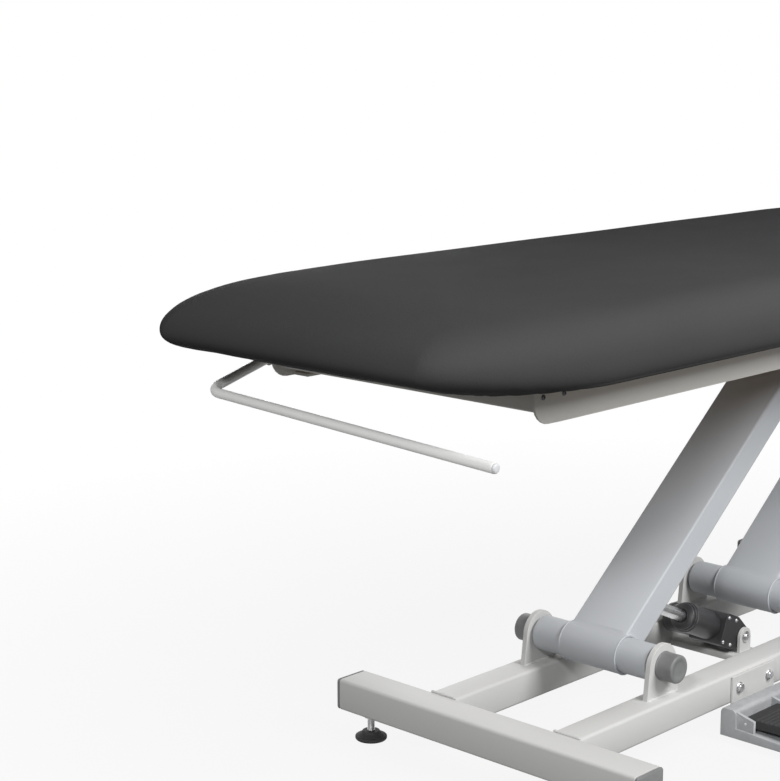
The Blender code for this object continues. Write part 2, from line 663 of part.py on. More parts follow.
def make_actuator(housing, steel, paint):
    """Gear housing with motor and tube on a floor clevis, and a push rod that ends in the arm's pocket."""
    floor_pin, reach, turn = actuator_frame()
    across = (0.0, 1.0, 0.0)
    along = (1.0, 0.0, 0.0)
    bore = ACTUATOR_ROD_RADIUS + RUN_GAP

    nose = GEAR_HALF_HEIGHT * GEAR_NOSE_SHARE
    shoulder = GEAR_LENGTH * GEAR_SHOULDER_SHARE
    gear_outline = rounded_outline([(-EYE_RADIUS, -nose, GEAR_ROUND),
                                    (shoulder, -GEAR_HALF_HEIGHT, GEAR_SHOULDER_ROUND),
                                    (GEAR_LENGTH, -GEAR_HALF_HEIGHT, GEAR_ROUND),
                                    (GEAR_LENGTH, GEAR_HALF_HEIGHT, GEAR_ROUND),
                                    (shoulder, GEAR_HALF_HEIGHT, GEAR_SHOULDER_ROUND),
                                    (-EYE_RADIUS, nose, GEAR_ROUND)], EDGE_STEPS)
    solid = prism(gear_outline, -GEAR_HALF_WIDTH, GEAR_HALF_WIDTH)
    gear = place("actuator_gear", solid, housing, floor_pin, turn)
    pin_hole = add_turned(bmesh.new(), rod_profile(PIN_RADIUS + RUN_GAP, 4 * GEAR_HALF_WIDTH),
                          (0.0, -2 * GEAR_HALF_WIDTH, 0.0), across, SMALL_SIDES)
    combine(gear, cutter("actuator_gear_pin_hole", pin_hole, floor_pin, turn), "DIFFERENCE")

    spindle_shape = rod_profile(bore, GEAR_LENGTH)
    spindle = add_turned(bmesh.new(), spindle_shape, (GEAR_BORE_START, 0.0, 0.0), along, MEDIUM_SIDES)
    combine(gear, cutter("actuator_gear_bore", spindle, floor_pin, turn), "DIFFERENCE")

    tube_start = GEAR_LENGTH + SEAT_GAP
    tube = add_turned(bmesh.new(), tube_profile(ACTUATOR_TUBE_RADIUS, bore, tube_start, ACTUATOR_TUBE_END),
                      (0.0, 0.0, 0.0), along, MEDIUM_SIDES)
    place("actuator_tube", tube, housing, floor_pin, turn)

    motor_start = (MOTOR_ALONG, GEAR_HALF_WIDTH + SEAT_GAP, 0.0)
    motor_shape = rod_profile(MOTOR_RADIUS, MOTOR_LENGTH, MOTOR_EDGE)
    motor = add_turned(bmesh.new(), motor_shape, motor_start, across, MEDIUM_SIDES)
    place("actuator_motor", motor, housing, floor_pin, turn)

    rod_end = reach - EYE_RADIUS * EYE_ROOT_SHARE
    rod = add_turned(bmesh.new(), rod_profile(ACTUATOR_ROD_RADIUS, rod_end - ACTUATOR_ROD_TAIL),
                     (ACTUATOR_ROD_TAIL, 0.0, 0.0), along, MEDIUM_SIDES)
    push_rod = place("actuator_rod", rod, steel, floor_pin, turn)
    eye = add_turned(bmesh.new(), rod_profile(EYE_RADIUS, 2 * EYE_HALF_WIDTH, PIN_EDGE),
                     (reach, -EYE_HALF_WIDTH, 0.0), across, MEDIUM_SIDES)
    unite(push_rod, "actuator_rod_eye", eye, floor_pin, turn)
    hole = add_turned(bmesh.new(), rod_profile(PIN_RADIUS + SEAT_GAP, 4 * EYE_HALF_WIDTH),
                      (reach, -2 * EYE_HALF_WIDTH, 0.0), across, SMALL_SIDES)
    combine(push_rod, cutter("actuator_rod_hole", hole, floor_pin, turn), "DIFFERENCE")
    pin = add_turned(bmesh.new(), rod_profile(PIN_RADIUS, 2 * PIN_HALF_LENGTH, PIN_EDGE),
                     (reach, -PIN_HALF_LENGTH, 0.0), across, SMALL_SIDES)
    place("actuator_arm_pin", pin, steel, floor_pin, turn)

    carrier_top = BEAM_BOTTOM + CARRIER_HEIGHT
    carrier_half = BEAM_INNER - SEAT_GAP
    low = (ACTUATOR_PIN_X - CARRIER_WIDTH / 2, -carrier_half, BEAM_BOTTOM)
    high = (ACTUATOR_PIN_X + CARRIER_WIDTH / 2, carrier_half, carrier_top)
    carrier = add_bevel(place("actuator_carrier", box(low, high), paint), BEAM_EDGE / 2)
    foot = carrier_top - WELD_DEPTH
    outline = ear_outline(ACTUATOR_PIN_X, ACTUATOR_PIN_Z, foot, CLEVIS_RADIUS, CLEVIS_RADIUS)
    inner = GEAR_HALF_WIDTH + SIDE_PLAY
    for label, side in SIDES:
        edges = sorted((side * inner, side * (inner + CLEVIS_THICKNESS)))
        unite(carrier, f"actuator_clevis_{label}", prism(outline, edges[0], edges[1]))
    half = inner + CLEVIS_THICKNESS + PIN_HEAD
    start = (ACTUATOR_PIN_X, -half, ACTUATOR_PIN_Z)
    drill = add_turned(bmesh.new(), rod_profile(PIN_RADIUS + SEAT_GAP, 2 * half), start, across, SMALL_SIDES)
    combine(carrier, cutter("actuator_clevis_drill", drill), "DIFFERENCE")
    pin = add_turned(bmesh.new(), rod_profile(PIN_RADIUS, 2 * half, PIN_EDGE), start, across, SMALL_SIDES)
    place("actuator_floor_pin", pin, steel)


def pedal_ribs(toe, heel):
    """Outline points of the ribs on a pedal's upper face, from its toe towards its heel."""
    run = (heel - toe).normalized()
    up = Vector((-run.y, run.x))
    rib = ((0.0, 0.0), (PEDAL_RIB_SLOPE, PEDAL_RIB_HEIGHT),
           (PEDAL_RIB_WIDTH - PEDAL_RIB_SLOPE, PEDAL_RIB_HEIGHT), (PEDAL_RIB_WIDTH, 0.0))
    points = []
    for index in range(PEDAL_RIBS):
        start = toe + run * (PEDAL_RIB_START + index * PEDAL_RIB_PITCH)
        points += [start + run * along + up * height for along, height in rib]
    return points


def make_foot_switch(paint, plastic, rubber, steel):
    """Foot switch on an angle bracket: base with a back housing, cheeks, and two pedals on one pin."""
    beam_face = -(BEAM_OUTER + SEAT_GAP)
    plate_z = SWITCH_FLOOR_GAP + SWITCH_BRACKET_THICKNESS
    back = beam_face - SWITCH_STANDOFF
    toe = back - SWITCH_REACH
    plate_face = beam_face - SWITCH_BRACKET_THICKNESS
    plate_top = BEAM_TOP - BEAM_EDGE
    angle = [(beam_face, plate_top), (beam_face, SWITCH_FLOOR_GAP), (toe, SWITCH_FLOOR_GAP), (toe, plate_z),
             (plate_face, plate_z), (plate_face, plate_top)]
    half = SWITCH_BRACKET_WIDTH / 2
    place("switch_bracket", prism(angle, SWITCH_X - half, SWITCH_X + half, "X"), paint)

    floor = plate_z + SEAT_GAP
    front_of_back = back - SWITCH_BACK_DEPTH
    heel = floor + SWITCH_HEEL_HEIGHT
    body = rounded_outline([(back, floor, 0.0), (toe, floor, 0.0),
                            (toe, floor + SWITCH_TOE_HEIGHT, SWITCH_TOE_ROUND),
                            (front_of_back, heel, 0.0),
                            (front_of_back, floor + SWITCH_BACK_HEIGHT, SWITCH_BACK_ROUND),
                            (back, floor + SWITCH_BACK_HEIGHT, SWITCH_BACK_ROUND)])
    left = SWITCH_X - SWITCH_WIDTH / 2
    right = SWITCH_X + SWITCH_WIDTH / 2
    base = add_bevel(place("switch_base", prism(body, left, right, "X"), plastic), SWITCH_EDGE)

    pin_y = front_of_back - PEDAL_PIN_BACK
    slope = (SWITCH_HEEL_HEIGHT - SWITCH_TOE_HEIGHT) / (SWITCH_REACH - SWITCH_BACK_DEPTH)
    pin_z = heel - slope * PEDAL_PIN_BACK + PEDAL_PIN_HEIGHT
    cheek_front = pin_y - PEDAL_PIN_BACK + SIDE_PLAY
    cheek = [(front_of_back + WELD_DEPTH, heel - WELD_DEPTH),
             (cheek_front, heel - slope * (front_of_back - cheek_front) - WELD_DEPTH),
             (cheek_front, pin_z + PEDAL_PIN_HEIGHT * CHEEK_FRONT_SHARE),
             (front_of_back + WELD_DEPTH, heel + CHEEK_HEIGHT)]
    middles = (left + CHEEK_THICKNESS, SWITCH_X, right - CHEEK_THICKNESS)
    for label, middle in zip(("left", "middle", "right"), middles):
        solid = prism(cheek, middle - CHEEK_THICKNESS / 2, middle + CHEEK_THICKNESS / 2, "X")
        unite(base, f"pedal_cheek_{label}", solid)
    drill = add_turned(bmesh.new(), rod_profile(PEDAL_PIN_RADIUS + SEAT_GAP, 2 * SWITCH_WIDTH),
                       (SWITCH_X - SWITCH_WIDTH, pin_y, pin_z), (1.0, 0.0, 0.0), PIN_SIDES)
    combine(base, cutter("pedal_pin_drill", drill), "DIFFERENCE")
    pin_start = middles[0] - CHEEK_THICKNESS / 2
    pin_length = middles[2] + CHEEK_THICKNESS / 2 - pin_start
    pin = add_turned(bmesh.new(), rod_profile(PEDAL_PIN_RADIUS, pin_length), (pin_start, pin_y, pin_z),
                     (1.0, 0.0, 0.0), PIN_SIDES)
    place("pedal_pin", pin, steel)

    toe_y = toe + PEDAL_TOE_GAP - pin_y
    toe_z = floor + SWITCH_TOE_HEIGHT + PEDAL_TOE_GAP - pin_z
    grip = PEDAL_PIN_RADIUS + PEDAL_THICKNESS / 2
    lip_y = toe_y - PEDAL_LIP
    rise = PEDAL_THICKNESS / 2
    plate = [(grip, grip), (grip, -grip), (-grip, -grip), (toe_y, toe_z - rise), (lip_y, toe_z - rise),
             (lip_y, toe_z + rise), (toe_y, toe_z + 2 * rise)]
    outline = rounded_outline([(*point, PEDAL_ROUND) for point in plate], EDGE_STEPS)
    outline += pedal_ribs(Vector(plate[-1]), Vector(plate[0]))
    for name, low, high in (("pedal_up", middles[0], middles[1]), ("pedal_down", middles[1], middles[2])):
        centre = (low + high) / 2
        half = (high - low - CHEEK_THICKNESS) / 2 - SIDE_PLAY
        pedal = place(name, prism(outline, -half, half, "X"), rubber, (centre, pin_y, pin_z))
        tool = add_turned(bmesh.new(), rod_profile(PEDAL_PIN_RADIUS + RUN_GAP, 4 * half),
                          (-2 * half, 0.0, 0.0), (1.0, 0.0, 0.0), PIN_SIDES)
        combine(pedal, cutter(f"{name}_drill", tool, (centre, pin_y, pin_z)), "DIFFERENCE")


def make_control_box(plastic, dark):
    """Closed control box under the board, with a shallow mains inlet in its end."""
    top = BOARD_BOTTOM - SEAT_GAP
    low = (BOX_CENTRE_X - BOX_LENGTH / 2, -BOX_WIDTH / 2, top - BOX_HEIGHT)
    high = (BOX_CENTRE_X + BOX_LENGTH / 2, BOX_WIDTH / 2, top)
    add_bevel(place("control_box", box(low, high), plastic), BOX_EDGE, 3)
    face = low[0] - SEAT_GAP
    middle = top - BOX_HEIGHT / 2
    inlet = place("mains_inlet", box((face - INLET_DEPTH, -INLET_WIDTH / 2, middle - INLET_HEIGHT / 2),
                                     (face, INLET_WIDTH / 2, middle + INLET_HEIGHT / 2)), dark)
    well_side = INLET_WIDTH / 2 - INLET_WALL
    well_rise = INLET_HEIGHT / 2 - INLET_WALL
    well = box((face - 2 * INLET_DEPTH, -well_side, middle - well_rise),
               (face - INLET_DEPTH + INLET_WELL, well_side, middle + well_rise))
    combine(inlet, cutter("mains_inlet_well", well), "DIFFERENCE")


def swept_rod(points, bend, radius, tip, sides):
    """Round rod along straight runs joined by arcs, flat at its first end and rounded at its last."""
    path = [points[0]]
    for before, corner, after in zip(points, points[1:], points[2:]):
        back = (before - corner).normalized()
        ahead = (after - corner).normalized()
        half = back.angle(ahead) / 2
        centre = corner + (back + ahead).normalized() * (bend / sin(half))
        spoke = corner + back * (bend / tan(half)) - centre
        axis = back.cross(ahead)
        sweep = pi - 2 * half
        for step in range(BEND_STEPS + 1):
            path.append(centre + Matrix.Rotation(-sweep * step / BEND_STEPS, 3, axis) @ spoke)
    path.append(points[-1])
    radii = [radius] * len(path)
    end_run = (path[-1] - path[-2]).normalized()
    last = path.pop() - end_run * tip
    radii.pop()
    for angle in np.linspace(0.0, pi / 2, EDGE_STEPS + 1):
        path.append(last + end_run * tip * sin(angle))
        radii.append(radius - tip * (1.0 - cos(angle)))
    rings = []
    normal = (path[1] - path[0]).orthogonal().normalized()
    for index, point in enumerate(path):
        before = path[max(index - 1, 0)]
        after = path[min(index + 1, len(path) - 1)]
        run = (after - before).normalized()
        normal = (normal - run * normal.dot(run)).normalized()
        other = run.cross(normal)
        ring = []
        for side in range(sides):
            angle = 2 * pi * side / sides
            ring.append(point + radii[index] * (cos(angle) * normal + sin(angle) * other))
        rings.append(ring)
    return skin(rings)


def make_roll_holder(rail, paint, plastic):
    """Bent rod in an inclined socket welded to a rail, with a clamp knob on the socket's outer side."""
    bore = ROLL_ROD_RADIUS + RUN_GAP
    axis_y = FRAME_HALF_WIDTH + bore + SOCKET_WALL - SOCKET_WELD
    rise = Vector((1.0, 0.0, ROLL_ROD_RISE)).normalized()
    bend = Vector((RAIL_END_X - ROLL_ROD_REACH, axis_y, RAIL_BOTTOM - ROLL_ROD_DROP))
    mouth = bend + rise * ((ROLL_ROD_REACH + SOCKET_START) / rise.x)
    socket_end = mouth + rise * SOCKET_LENGTH
    tip = bend + Vector((0.0, -ROLL_ROD_SPAN, -ROLL_ROD_SAG))
    rod = swept_rod([socket_end, bend, tip], ROLL_ROD_BEND, ROLL_ROD_RADIUS, ROLL_ROD_TIP_ROUND, SMALL_SIDES)
    place("roll_rod", rod, paint)
    socket_shape = tube_profile(bore + SOCKET_WALL, bore, 0.0, SOCKET_LENGTH)
    socket = add_turned(bmesh.new(), socket_shape, mouth, rise, MEDIUM_SIDES)
    unite(rail, "roll_socket", socket)

    seat = mouth + rise * (SOCKET_LENGTH / 2) + Vector((0.0, bore + SOCKET_WALL + SEAT_GAP, 0.0))
    knob = bmesh.new()
    lobed = []
    steps = KNOB_LOBE_STEPS * KNOB_LOBES
    for step in range(steps):
        angle = 2 * pi * step / steps
        radius = KNOB_RADIUS - KNOB_LOBE_DEPTH * (1.0 - cos(KNOB_LOBES * angle)) / 2
        lobed.append((radius * cos(angle), radius * sin(angle)))
    add_prism(knob, lobed, KNOB_STEM_LENGTH, KNOB_STEM_LENGTH + KNOB_LENGTH)
    handle = add_bevel(place("roll_knob", knob, plastic, seat), KNOB_EDGE, 1)
    stem_shape = rod_profile(KNOB_STEM_RADIUS, KNOB_STEM_LENGTH + KNOB_LENGTH / 2)
    stem = add_turned(bmesh.new(), stem_shape, (0.0, 0.0, 0.0), (0.0, 1.0, 0.0), SMALL_SIDES)
    unite(handle, "roll_knob_stem", stem, seat)


def main():
    """Build the whole table."""
    clear_scene()
    frame_paint = material("frame_paint", (0.60, 0.60, 0.59), 0.45)
    arm_paint = material("arm_paint", (0.62, 0.64, 0.66), 0.40)
    rod_paint = material("rod_paint", (0.72, 0.73, 0.73), 0.35)
    upholstery = material("upholstery", (0.055, 0.055, 0.057), 0.55)
    plywood = material("plywood", (0.35, 0.24, 0.15), 0.70)
    cap_plastic = material("cap_plastic", (0.11, 0.12, 0.13), 0.50)
    black_plastic = material("black_plastic", (0.03, 0.03, 0.03), 0.45)
    grey_plastic = material("grey_plastic", (0.40, 0.41, 0.42), 0.50)
    rubber = material("rubber", (0.025, 0.025, 0.025), 0.80)
    steel = material("steel", (0.60, 0.60, 0.60), 0.30, 1.0)

    make_pad(upholstery)
    make_board(plywood)
    rails = make_rails(frame_paint)
    make_cross_members(frame_paint)
    make_rail_screws(black_plastic)
    make_pivots(arm_paint, cap_plastic)
    make_arm("front_arm", LOWER_X[0], arm_paint, True)
    make_arm("rear_arm", LOWER_X[1], arm_paint, False)
    make_floor_frame(frame_paint, cap_plastic, rubber, steel)
    make_actuator(black_plastic, steel, frame_paint)
    make_foot_switch(frame_paint, grey_plastic, rubber, steel)
    make_control_box(black_plastic, cap_plastic)
    make_roll_holder(rails["far"], rod_paint, black_plastic)


main()
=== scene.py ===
"""Looks of the electric examination table: cushion, painted frame, lift, floor frame, foot switch and
paper-roll rod.

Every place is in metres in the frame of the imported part. Places of solids are read from their boxes and
joints. The other sizes are named at the head of the section that uses them.
"""

import json
from math import cos, pi, radians, sin

import bmesh
import bpy
import numpy as np
from mathutils import Matrix, Vector


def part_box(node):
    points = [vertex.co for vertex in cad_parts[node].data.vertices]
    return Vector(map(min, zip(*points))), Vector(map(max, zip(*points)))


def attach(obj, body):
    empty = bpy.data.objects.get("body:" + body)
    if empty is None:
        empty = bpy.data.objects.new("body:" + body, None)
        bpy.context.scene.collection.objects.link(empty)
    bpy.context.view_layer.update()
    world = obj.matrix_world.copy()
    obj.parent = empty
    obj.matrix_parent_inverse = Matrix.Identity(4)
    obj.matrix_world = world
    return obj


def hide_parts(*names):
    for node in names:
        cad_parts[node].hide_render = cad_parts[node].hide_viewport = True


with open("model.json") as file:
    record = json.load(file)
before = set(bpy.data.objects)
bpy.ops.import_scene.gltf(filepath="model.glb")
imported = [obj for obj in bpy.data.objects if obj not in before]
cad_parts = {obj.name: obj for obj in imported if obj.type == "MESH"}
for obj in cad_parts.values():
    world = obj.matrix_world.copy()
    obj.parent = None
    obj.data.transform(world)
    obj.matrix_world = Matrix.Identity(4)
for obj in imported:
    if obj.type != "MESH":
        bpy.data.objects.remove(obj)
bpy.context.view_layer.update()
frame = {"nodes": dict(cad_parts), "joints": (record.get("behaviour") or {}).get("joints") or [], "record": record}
NODES = frame["nodes"]
BODIES = frame["record"]["behaviour"]["bodies"]
BODY_OF = {node: body for body, members in BODIES.items() for node in members}
JOINTS = {joint["name"]: joint for joint in frame["joints"]}

ORIGIN = (0.0, 0.0, 0.0)
UP = (0.0, 0.0, 1.0)
DOWN = (0.0, 0.0, -1.0)
FAR = (0.0, 1.0, 0.0)
NEAR = (0.0, -1.0, 0.0)
BOTH = (-1.0, 1.0)
FULL_TURN = 2 * pi


def pivot(joint):
    """Place of a hinge as an array."""
    return np.array(JOINTS[joint]["pos_m"], float)


def low(node):
    """Lowest corner of a solid's box as an array."""
    return np.array(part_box(node)[0], float)


def high(node):
    """Highest corner of a solid's box as an array."""
    return np.array(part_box(node)[1], float)


def middle(node):
    """Centre of a solid's box as an array."""
    return (low(node) + high(node)) / 2


def named(start):
    """Names of the solids that begin with a word, in order."""
    return sorted(node for node in NODES if node.startswith(start))


# Surfaces

MERGE_DISTANCE = 1e-7
SHARP_ANGLE = 35.0
EASE_STEPS = 5
TURNED_SIDES = 64


def unit(vectors):
    """Vectors at length one along their last axis."""
    vectors = np.asarray(vectors, float)
    return vectors / np.linalg.norm(vectors, axis=-1, keepdims=True)


def turn_angles(count):
    """Equal steps round a full turn."""
    return np.arange(count) * (FULL_TURN / count)


def grid_quads(rows, columns, closed):
    """Corner numbers of the quads over a grid. Its last column joins its first, and so do its rows if
    closed."""
    index = np.arange(rows * columns).reshape(rows, columns)
    index = np.hstack((index, index[:, :1]))
    if closed:
        index = np.vstack((index, index[:1]))
    corners = (index[:-1, :-1], index[:-1, 1:], index[1:, 1:], index[1:, :-1])
    return np.stack(corners, axis=-1).reshape(-1, 4)


def placed(name, mesh, look, body, stands_for, sharp):
    """Object for a finished mesh, smooth except at edges sharper than the angle, riding on its body."""
    mesh.shade_smooth()
    mesh.set_sharp_from_angle(angle=radians(sharp))
    mesh.materials.clear()
    mesh.materials.append(look)
    made = bpy.data.objects.new(name, mesh)
    bpy.context.scene.collection.objects.link(made)
    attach(made, body)
    if stands_for:
        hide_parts(*stands_for)
    return made


def several(name, grids, look, body, stands_for=(), sharp=SHARP_ANGLE):
    """One piece from (points, closed) grids: doubles merged, so that seams and poles close, and faces turned
    outwards."""
    points = []
    faces = []
    count = 0
    for grid, closed in grids:
        rows, columns = grid.shape[:2]
        faces.append(grid_quads(rows, columns, closed) + count)
        points.append(grid.reshape(-1, 3))
        count += rows * columns
    mesh = bpy.data.meshes.new(name)
    mesh.from_pydata(np.concatenate(points).tolist(), [], np.concatenate(faces).tolist())
    work = bmesh.new()
    work.from_mesh(mesh)
    bmesh.ops.remove_doubles(work, verts=work.verts, dist=MERGE_DISTANCE)
    bmesh.ops.recalc_face_normals(work, faces=work.faces)
    work.to_mesh(mesh)
    work.free()
    return placed(name, mesh, look, body, stands_for, sharp)


def surface(name, points, look, body, stands_for=(), sharp=SHARP_ANGLE):
    """Piece over one open grid of points."""
    return several(name, ((points, False),), look, body, stands_for, sharp)


def eased(corners):
    """Profile through (radius, height, rounding) corners: each corner becomes a parabola between the
    points where its rounding begins and ends."""
    corners = np.asarray(corners, float)
    places = corners[:, :2]
    out = [places[:1]]
    share = np.linspace(0.0, 1.0, EASE_STEPS + 1)[:, None]
    for before, here, after, size in zip(places, places[1:], places[2:], corners[1:-1, 2]):
        if size == 0.0:
            out.append(here[None, :])
            continue
        start = here + unit(before - here) * size
        end = here + unit(after - here) * size
        out.append((1 - share) ** 2 * start + 2 * share * (1 - share) * here + share ** 2 * end)
    out.append(places[-1:])
    return np.concatenate(out)


def aimed(points, origin, axis):
    """Points turned so that +Z follows the axis, and moved to the origin."""
    turn = np.array(Vector(UP).rotation_difference(Vector(axis)).to_matrix())
    return points @ turn.T + np.asarray(origin, float)


def turned(profile, origin, axis, sides=TURNED_SIDES):
    """Profile carried round an axis: (radius, height) becomes radius times (cos, sin) across the axis and
    height along it."""
    profile = np.asarray(profile, float)
    across = ring_section(profile[:, 0], sides)
    height = np.repeat(profile[:, None, 1:2], sides, axis=1)
    return aimed(np.concatenate((across, height), axis=-1), origin, axis)


def ring_section(radius, sides):
    """Circle of one radius, or one circle per radius."""
    angle = turn_angles(sides)
    ring = np.stack((np.cos(angle), np.sin(angle)), axis=-1)
    return np.asarray(radius, float)[..., None, None] * ring


def stacked(levels, angle):
    """Rings one over another from (radius, height) pairs; a radius may change with the angle."""
    rings = []
    for size, level in levels:
        ring = (size * np.cos(angle), size * np.sin(angle), np.full(len(angle), level))
        rings.append(np.stack(ring, axis=-1))
    return np.stack(rings)


def hexagon(flat, angle):
    """Radius of a hexagon at each angle, from the distance between its centre and its flats."""
    return flat / np.cos((angle + pi / 6) % (pi / 3) - pi / 6)


def squared(values, power):
    """Sines or cosines pushed outwards to those of a superellipse, sign times size to 2/p."""
    return np.sign(values) * np.abs(values) ** (2 / power)


def carried(path, section, side, run=None):
    """Section carried along a path: its first number goes across the path and the side vector, its second
    along the side vector made square to the path."""
    path = np.asarray(path, float)
    run = unit(np.gradient(path, axis=0) if run is None else run)
    side = np.broadcast_to(np.asarray(side, float), path.shape)
    second = unit(side - run * np.sum(side * run, axis=-1, keepdims=True))
    first = np.cross(second, run)
    section = np.asarray(section, float)
    if section.ndim == 2:
        section = np.broadcast_to(section, (len(path), *section.shape))
    return path[:, None, :] + section[..., :1] * first[:, None, :] + section[..., 1:2] * second[:, None, :]


# Finishes

NUMBER = "NodeSocketFloat"
RESULTS = ("Tone", "Roughness", "Height")
WHOLE = (0.0, 1.0)
NOISE_BAND = (0.3, 0.7)
WIDE_BAND = (0.25, 0.75)


def add(tree, kind, links=None, **settings):
    """Node with its settings, whose inputs are linked from sockets or set to values."""
    made = tree.nodes.new(kind)
    for name, value in settings.items():
        setattr(made, name, value)
    for key, value in (links or {}).items():
        if isinstance(value, bpy.types.NodeSocket):
            tree.links.new(value, made.inputs[key])
        else:
            made.inputs[key].default_value = value
    return made


def new_group(name, inputs):
    """Shader node group with number inputs, and a tone, a roughness and a height as results."""
    tree = bpy.data.node_groups.new(name, "ShaderNodeTree")
    for socket, value in inputs.items():
        made = tree.interface.new_socket(socket, in_out="INPUT", socket_type=NUMBER)
        made.default_value = value
    for socket in RESULTS:
        tree.interface.new_socket(socket, in_out="OUTPUT", socket_type=NUMBER)
    return tree, tree.nodes.new("NodeGroupInput").outputs


def close_group(tree, tone, rough, height):
    """Group with its three results linked."""
    take = tree.nodes.new("NodeGroupOutput")
    for socket, value in zip(RESULTS, (tone, rough, height)):
        tree.links.new(value, take.inputs[socket])
    return tree


def place_on(tree):
    """Object coordinates inside a tree."""
    return add(tree, "ShaderNodeTexCoord").outputs["Object"]


def upright_on(tree, where):
    """Height of a place."""
    return add(tree, "ShaderNodeSeparateXYZ", {0: where}).outputs["Z"]


def spread(tree, value, band, to):
    """A value stretched from one band to another and held inside it."""
    links = {"Value": value, 1: band[0], 2: band[1], 3: to[0], 4: to[1]}
    return add(tree, "ShaderNodeMapRange", links).outputs[0]


def reckon(tree, operation, first, second=0.0):
    """Result of one operation on two numbers."""
    return add(tree, "ShaderNodeMath", {0: first, 1: second}, operation=operation).outputs[0]


def combine(tree, operation, first, second):
    """Result of one operation on two vectors."""
    return add(tree, "ShaderNodeVectorMath", {0: first, 1: second}, operation=operation).outputs[0]


def noise(tree, where, scale, detail, rough):
    """Noise value at a place, with its scale in cells per metre."""
    links = {"Vector": where, "Scale": scale, "Detail": detail, "Roughness": rough}
    return add(tree, "ShaderNodeTexNoise", links).outputs[0]


def stretched(tree, where, scale):
    """Place with each axis stretched by its own number."""
    return add(tree, "ShaderNodeMapping", {"Vector": where, "Scale": scale}).outputs[0]


def vinyl_grain():
    """Grain of coated cloth: creases between cells of the given count per metre, fine pores, and slow changes of
    tone. Along the creases the tone is also darker, which is painted shade in the grain's valleys."""
    tree, give = new_group("vinyl_grain", {"Cells": 620.0, "Drift": 1.0})
    where = place_on(tree)
    warp = 0.0016
    pore_depth = 0.35
    bend = add(tree, "ShaderNodeTexNoise", {"Vector": where, "Scale": 160.0, "Detail": 1.0}).outputs["Color"]
    moved = combine(tree, "ADD", where, combine(tree, "MULTIPLY", bend, (warp, warp, warp)))
    cells = add(tree, "ShaderNodeTexVoronoi", {"Vector": moved, "Scale": give["Cells"]},
                feature="DISTANCE_TO_EDGE")
    crease = spread(tree, cells.outputs["Distance"], band=(0.02, 0.22), to=WHOLE)
    pores = noise(tree, where, scale=1900.0, detail=2.0, rough=0.6)
    slow = noise(tree, where, scale=2.2, detail=3.0, rough=0.5)
    cloud = noise(tree, where, scale=14.0, detail=3.0, rough=0.55)
    height = reckon(tree, "ADD", crease, reckon(tree, "MULTIPLY", pores, pore_depth))
    drift = reckon(tree, "MULTIPLY", spread(tree, slow, NOISE_BAND, to=(-0.05, 0.05)), give["Drift"])
    # Tone falls to 0.90 along the creases: painted shade in the grain's valleys.
    tone = reckon(tree, "ADD", spread(tree, crease, WHOLE, to=(0.90, 1.0)), drift)
    dull = spread(tree, crease, WHOLE, to=(0.08, 0.0))
    rough = reckon(tree, "ADD", spread(tree, cloud, NOISE_BAND, to=(-0.03, 0.03)), dull)
    return close_group(tree, tone, rough, height)


def powder_coat():
    """Baked powder paint: orange-peel waves of the given count per metre, fine specks, cloudy tone, and
    dust that fades upwards from the floor."""
    tree, give = new_group("powder_coat", {"Waves": 420.0, "Dust": 0.0, "Cloud": 0.02})
    where = place_on(tree)
    dust_height = 0.11
    speck_depth = 0.12
    peel = noise(tree, where, give["Waves"], detail=1.5, rough=0.45)
    specks = noise(tree, where, scale=2600.0, detail=1.0, rough=0.5)
    cloud = noise(tree, where, scale=5.0, detail=4.0, rough=0.6)
    settled = spread(tree, upright_on(tree, where), band=(0.0, dust_height), to=(1.0, 0.0))
    patches = spread(tree, cloud, band=(0.35, 0.65), to=(0.2, 1.0))
    dust = reckon(tree, "MULTIPLY", reckon(tree, "MULTIPLY", settled, patches), give["Dust"])
    wave = reckon(tree, "MULTIPLY", spread(tree, cloud, WIDE_BAND, to=(-1.0, 1.0)), give["Cloud"])
    grit = spread(tree, specks, WIDE_BAND, to=(-0.012, 0.012))
    clean = reckon(tree, "ADD", reckon(tree, "ADD", wave, grit), 1.0)
    tone = reckon(tree, "SUBTRACT", clean, dust)
    rough = reckon(tree, "ADD", spread(tree, peel, NOISE_BAND, to=(-0.04, 0.04)), dust)
    height = reckon(tree, "ADD", peel, reckon(tree, "MULTIPLY", specks, speck_depth))
    return close_group(tree, tone, rough, height)


def moulded_skin():
    """Moulded plastic or rubber: spark-eroded texture of the given count per metre, soft mottling and rubbed
    patches."""
    tree, give = new_group("moulded_skin", {"Texture": 1500.0, "Rub": 0.3})
    where = place_on(tree)
    rub_tone = 0.35
    rub_shine = 0.15
    skin = noise(tree, where, give["Texture"], detail=2.0, rough=0.6)
    mottle = noise(tree, where, scale=60.0, detail=3.0, rough=0.6)
    patch = noise(tree, where, scale=18.0, detail=4.0, rough=0.65)
    rubbed = reckon(tree, "MULTIPLY", spread(tree, patch, band=(0.52, 0.70), to=WHOLE), give["Rub"])
    lighter = reckon(tree, "MULTIPLY", rubbed, rub_tone)
    smoother = reckon(tree, "MULTIPLY", rubbed, rub_shine)
    tone = reckon(tree, "ADD", spread(tree, mottle, NOISE_BAND, to=(0.92, 1.06)), lighter)
    rough = reckon(tree, "SUBTRACT", spread(tree, skin, NOISE_BAND, to=(-0.04, 0.06)), smoother)
    return close_group(tree, tone, rough, skin)


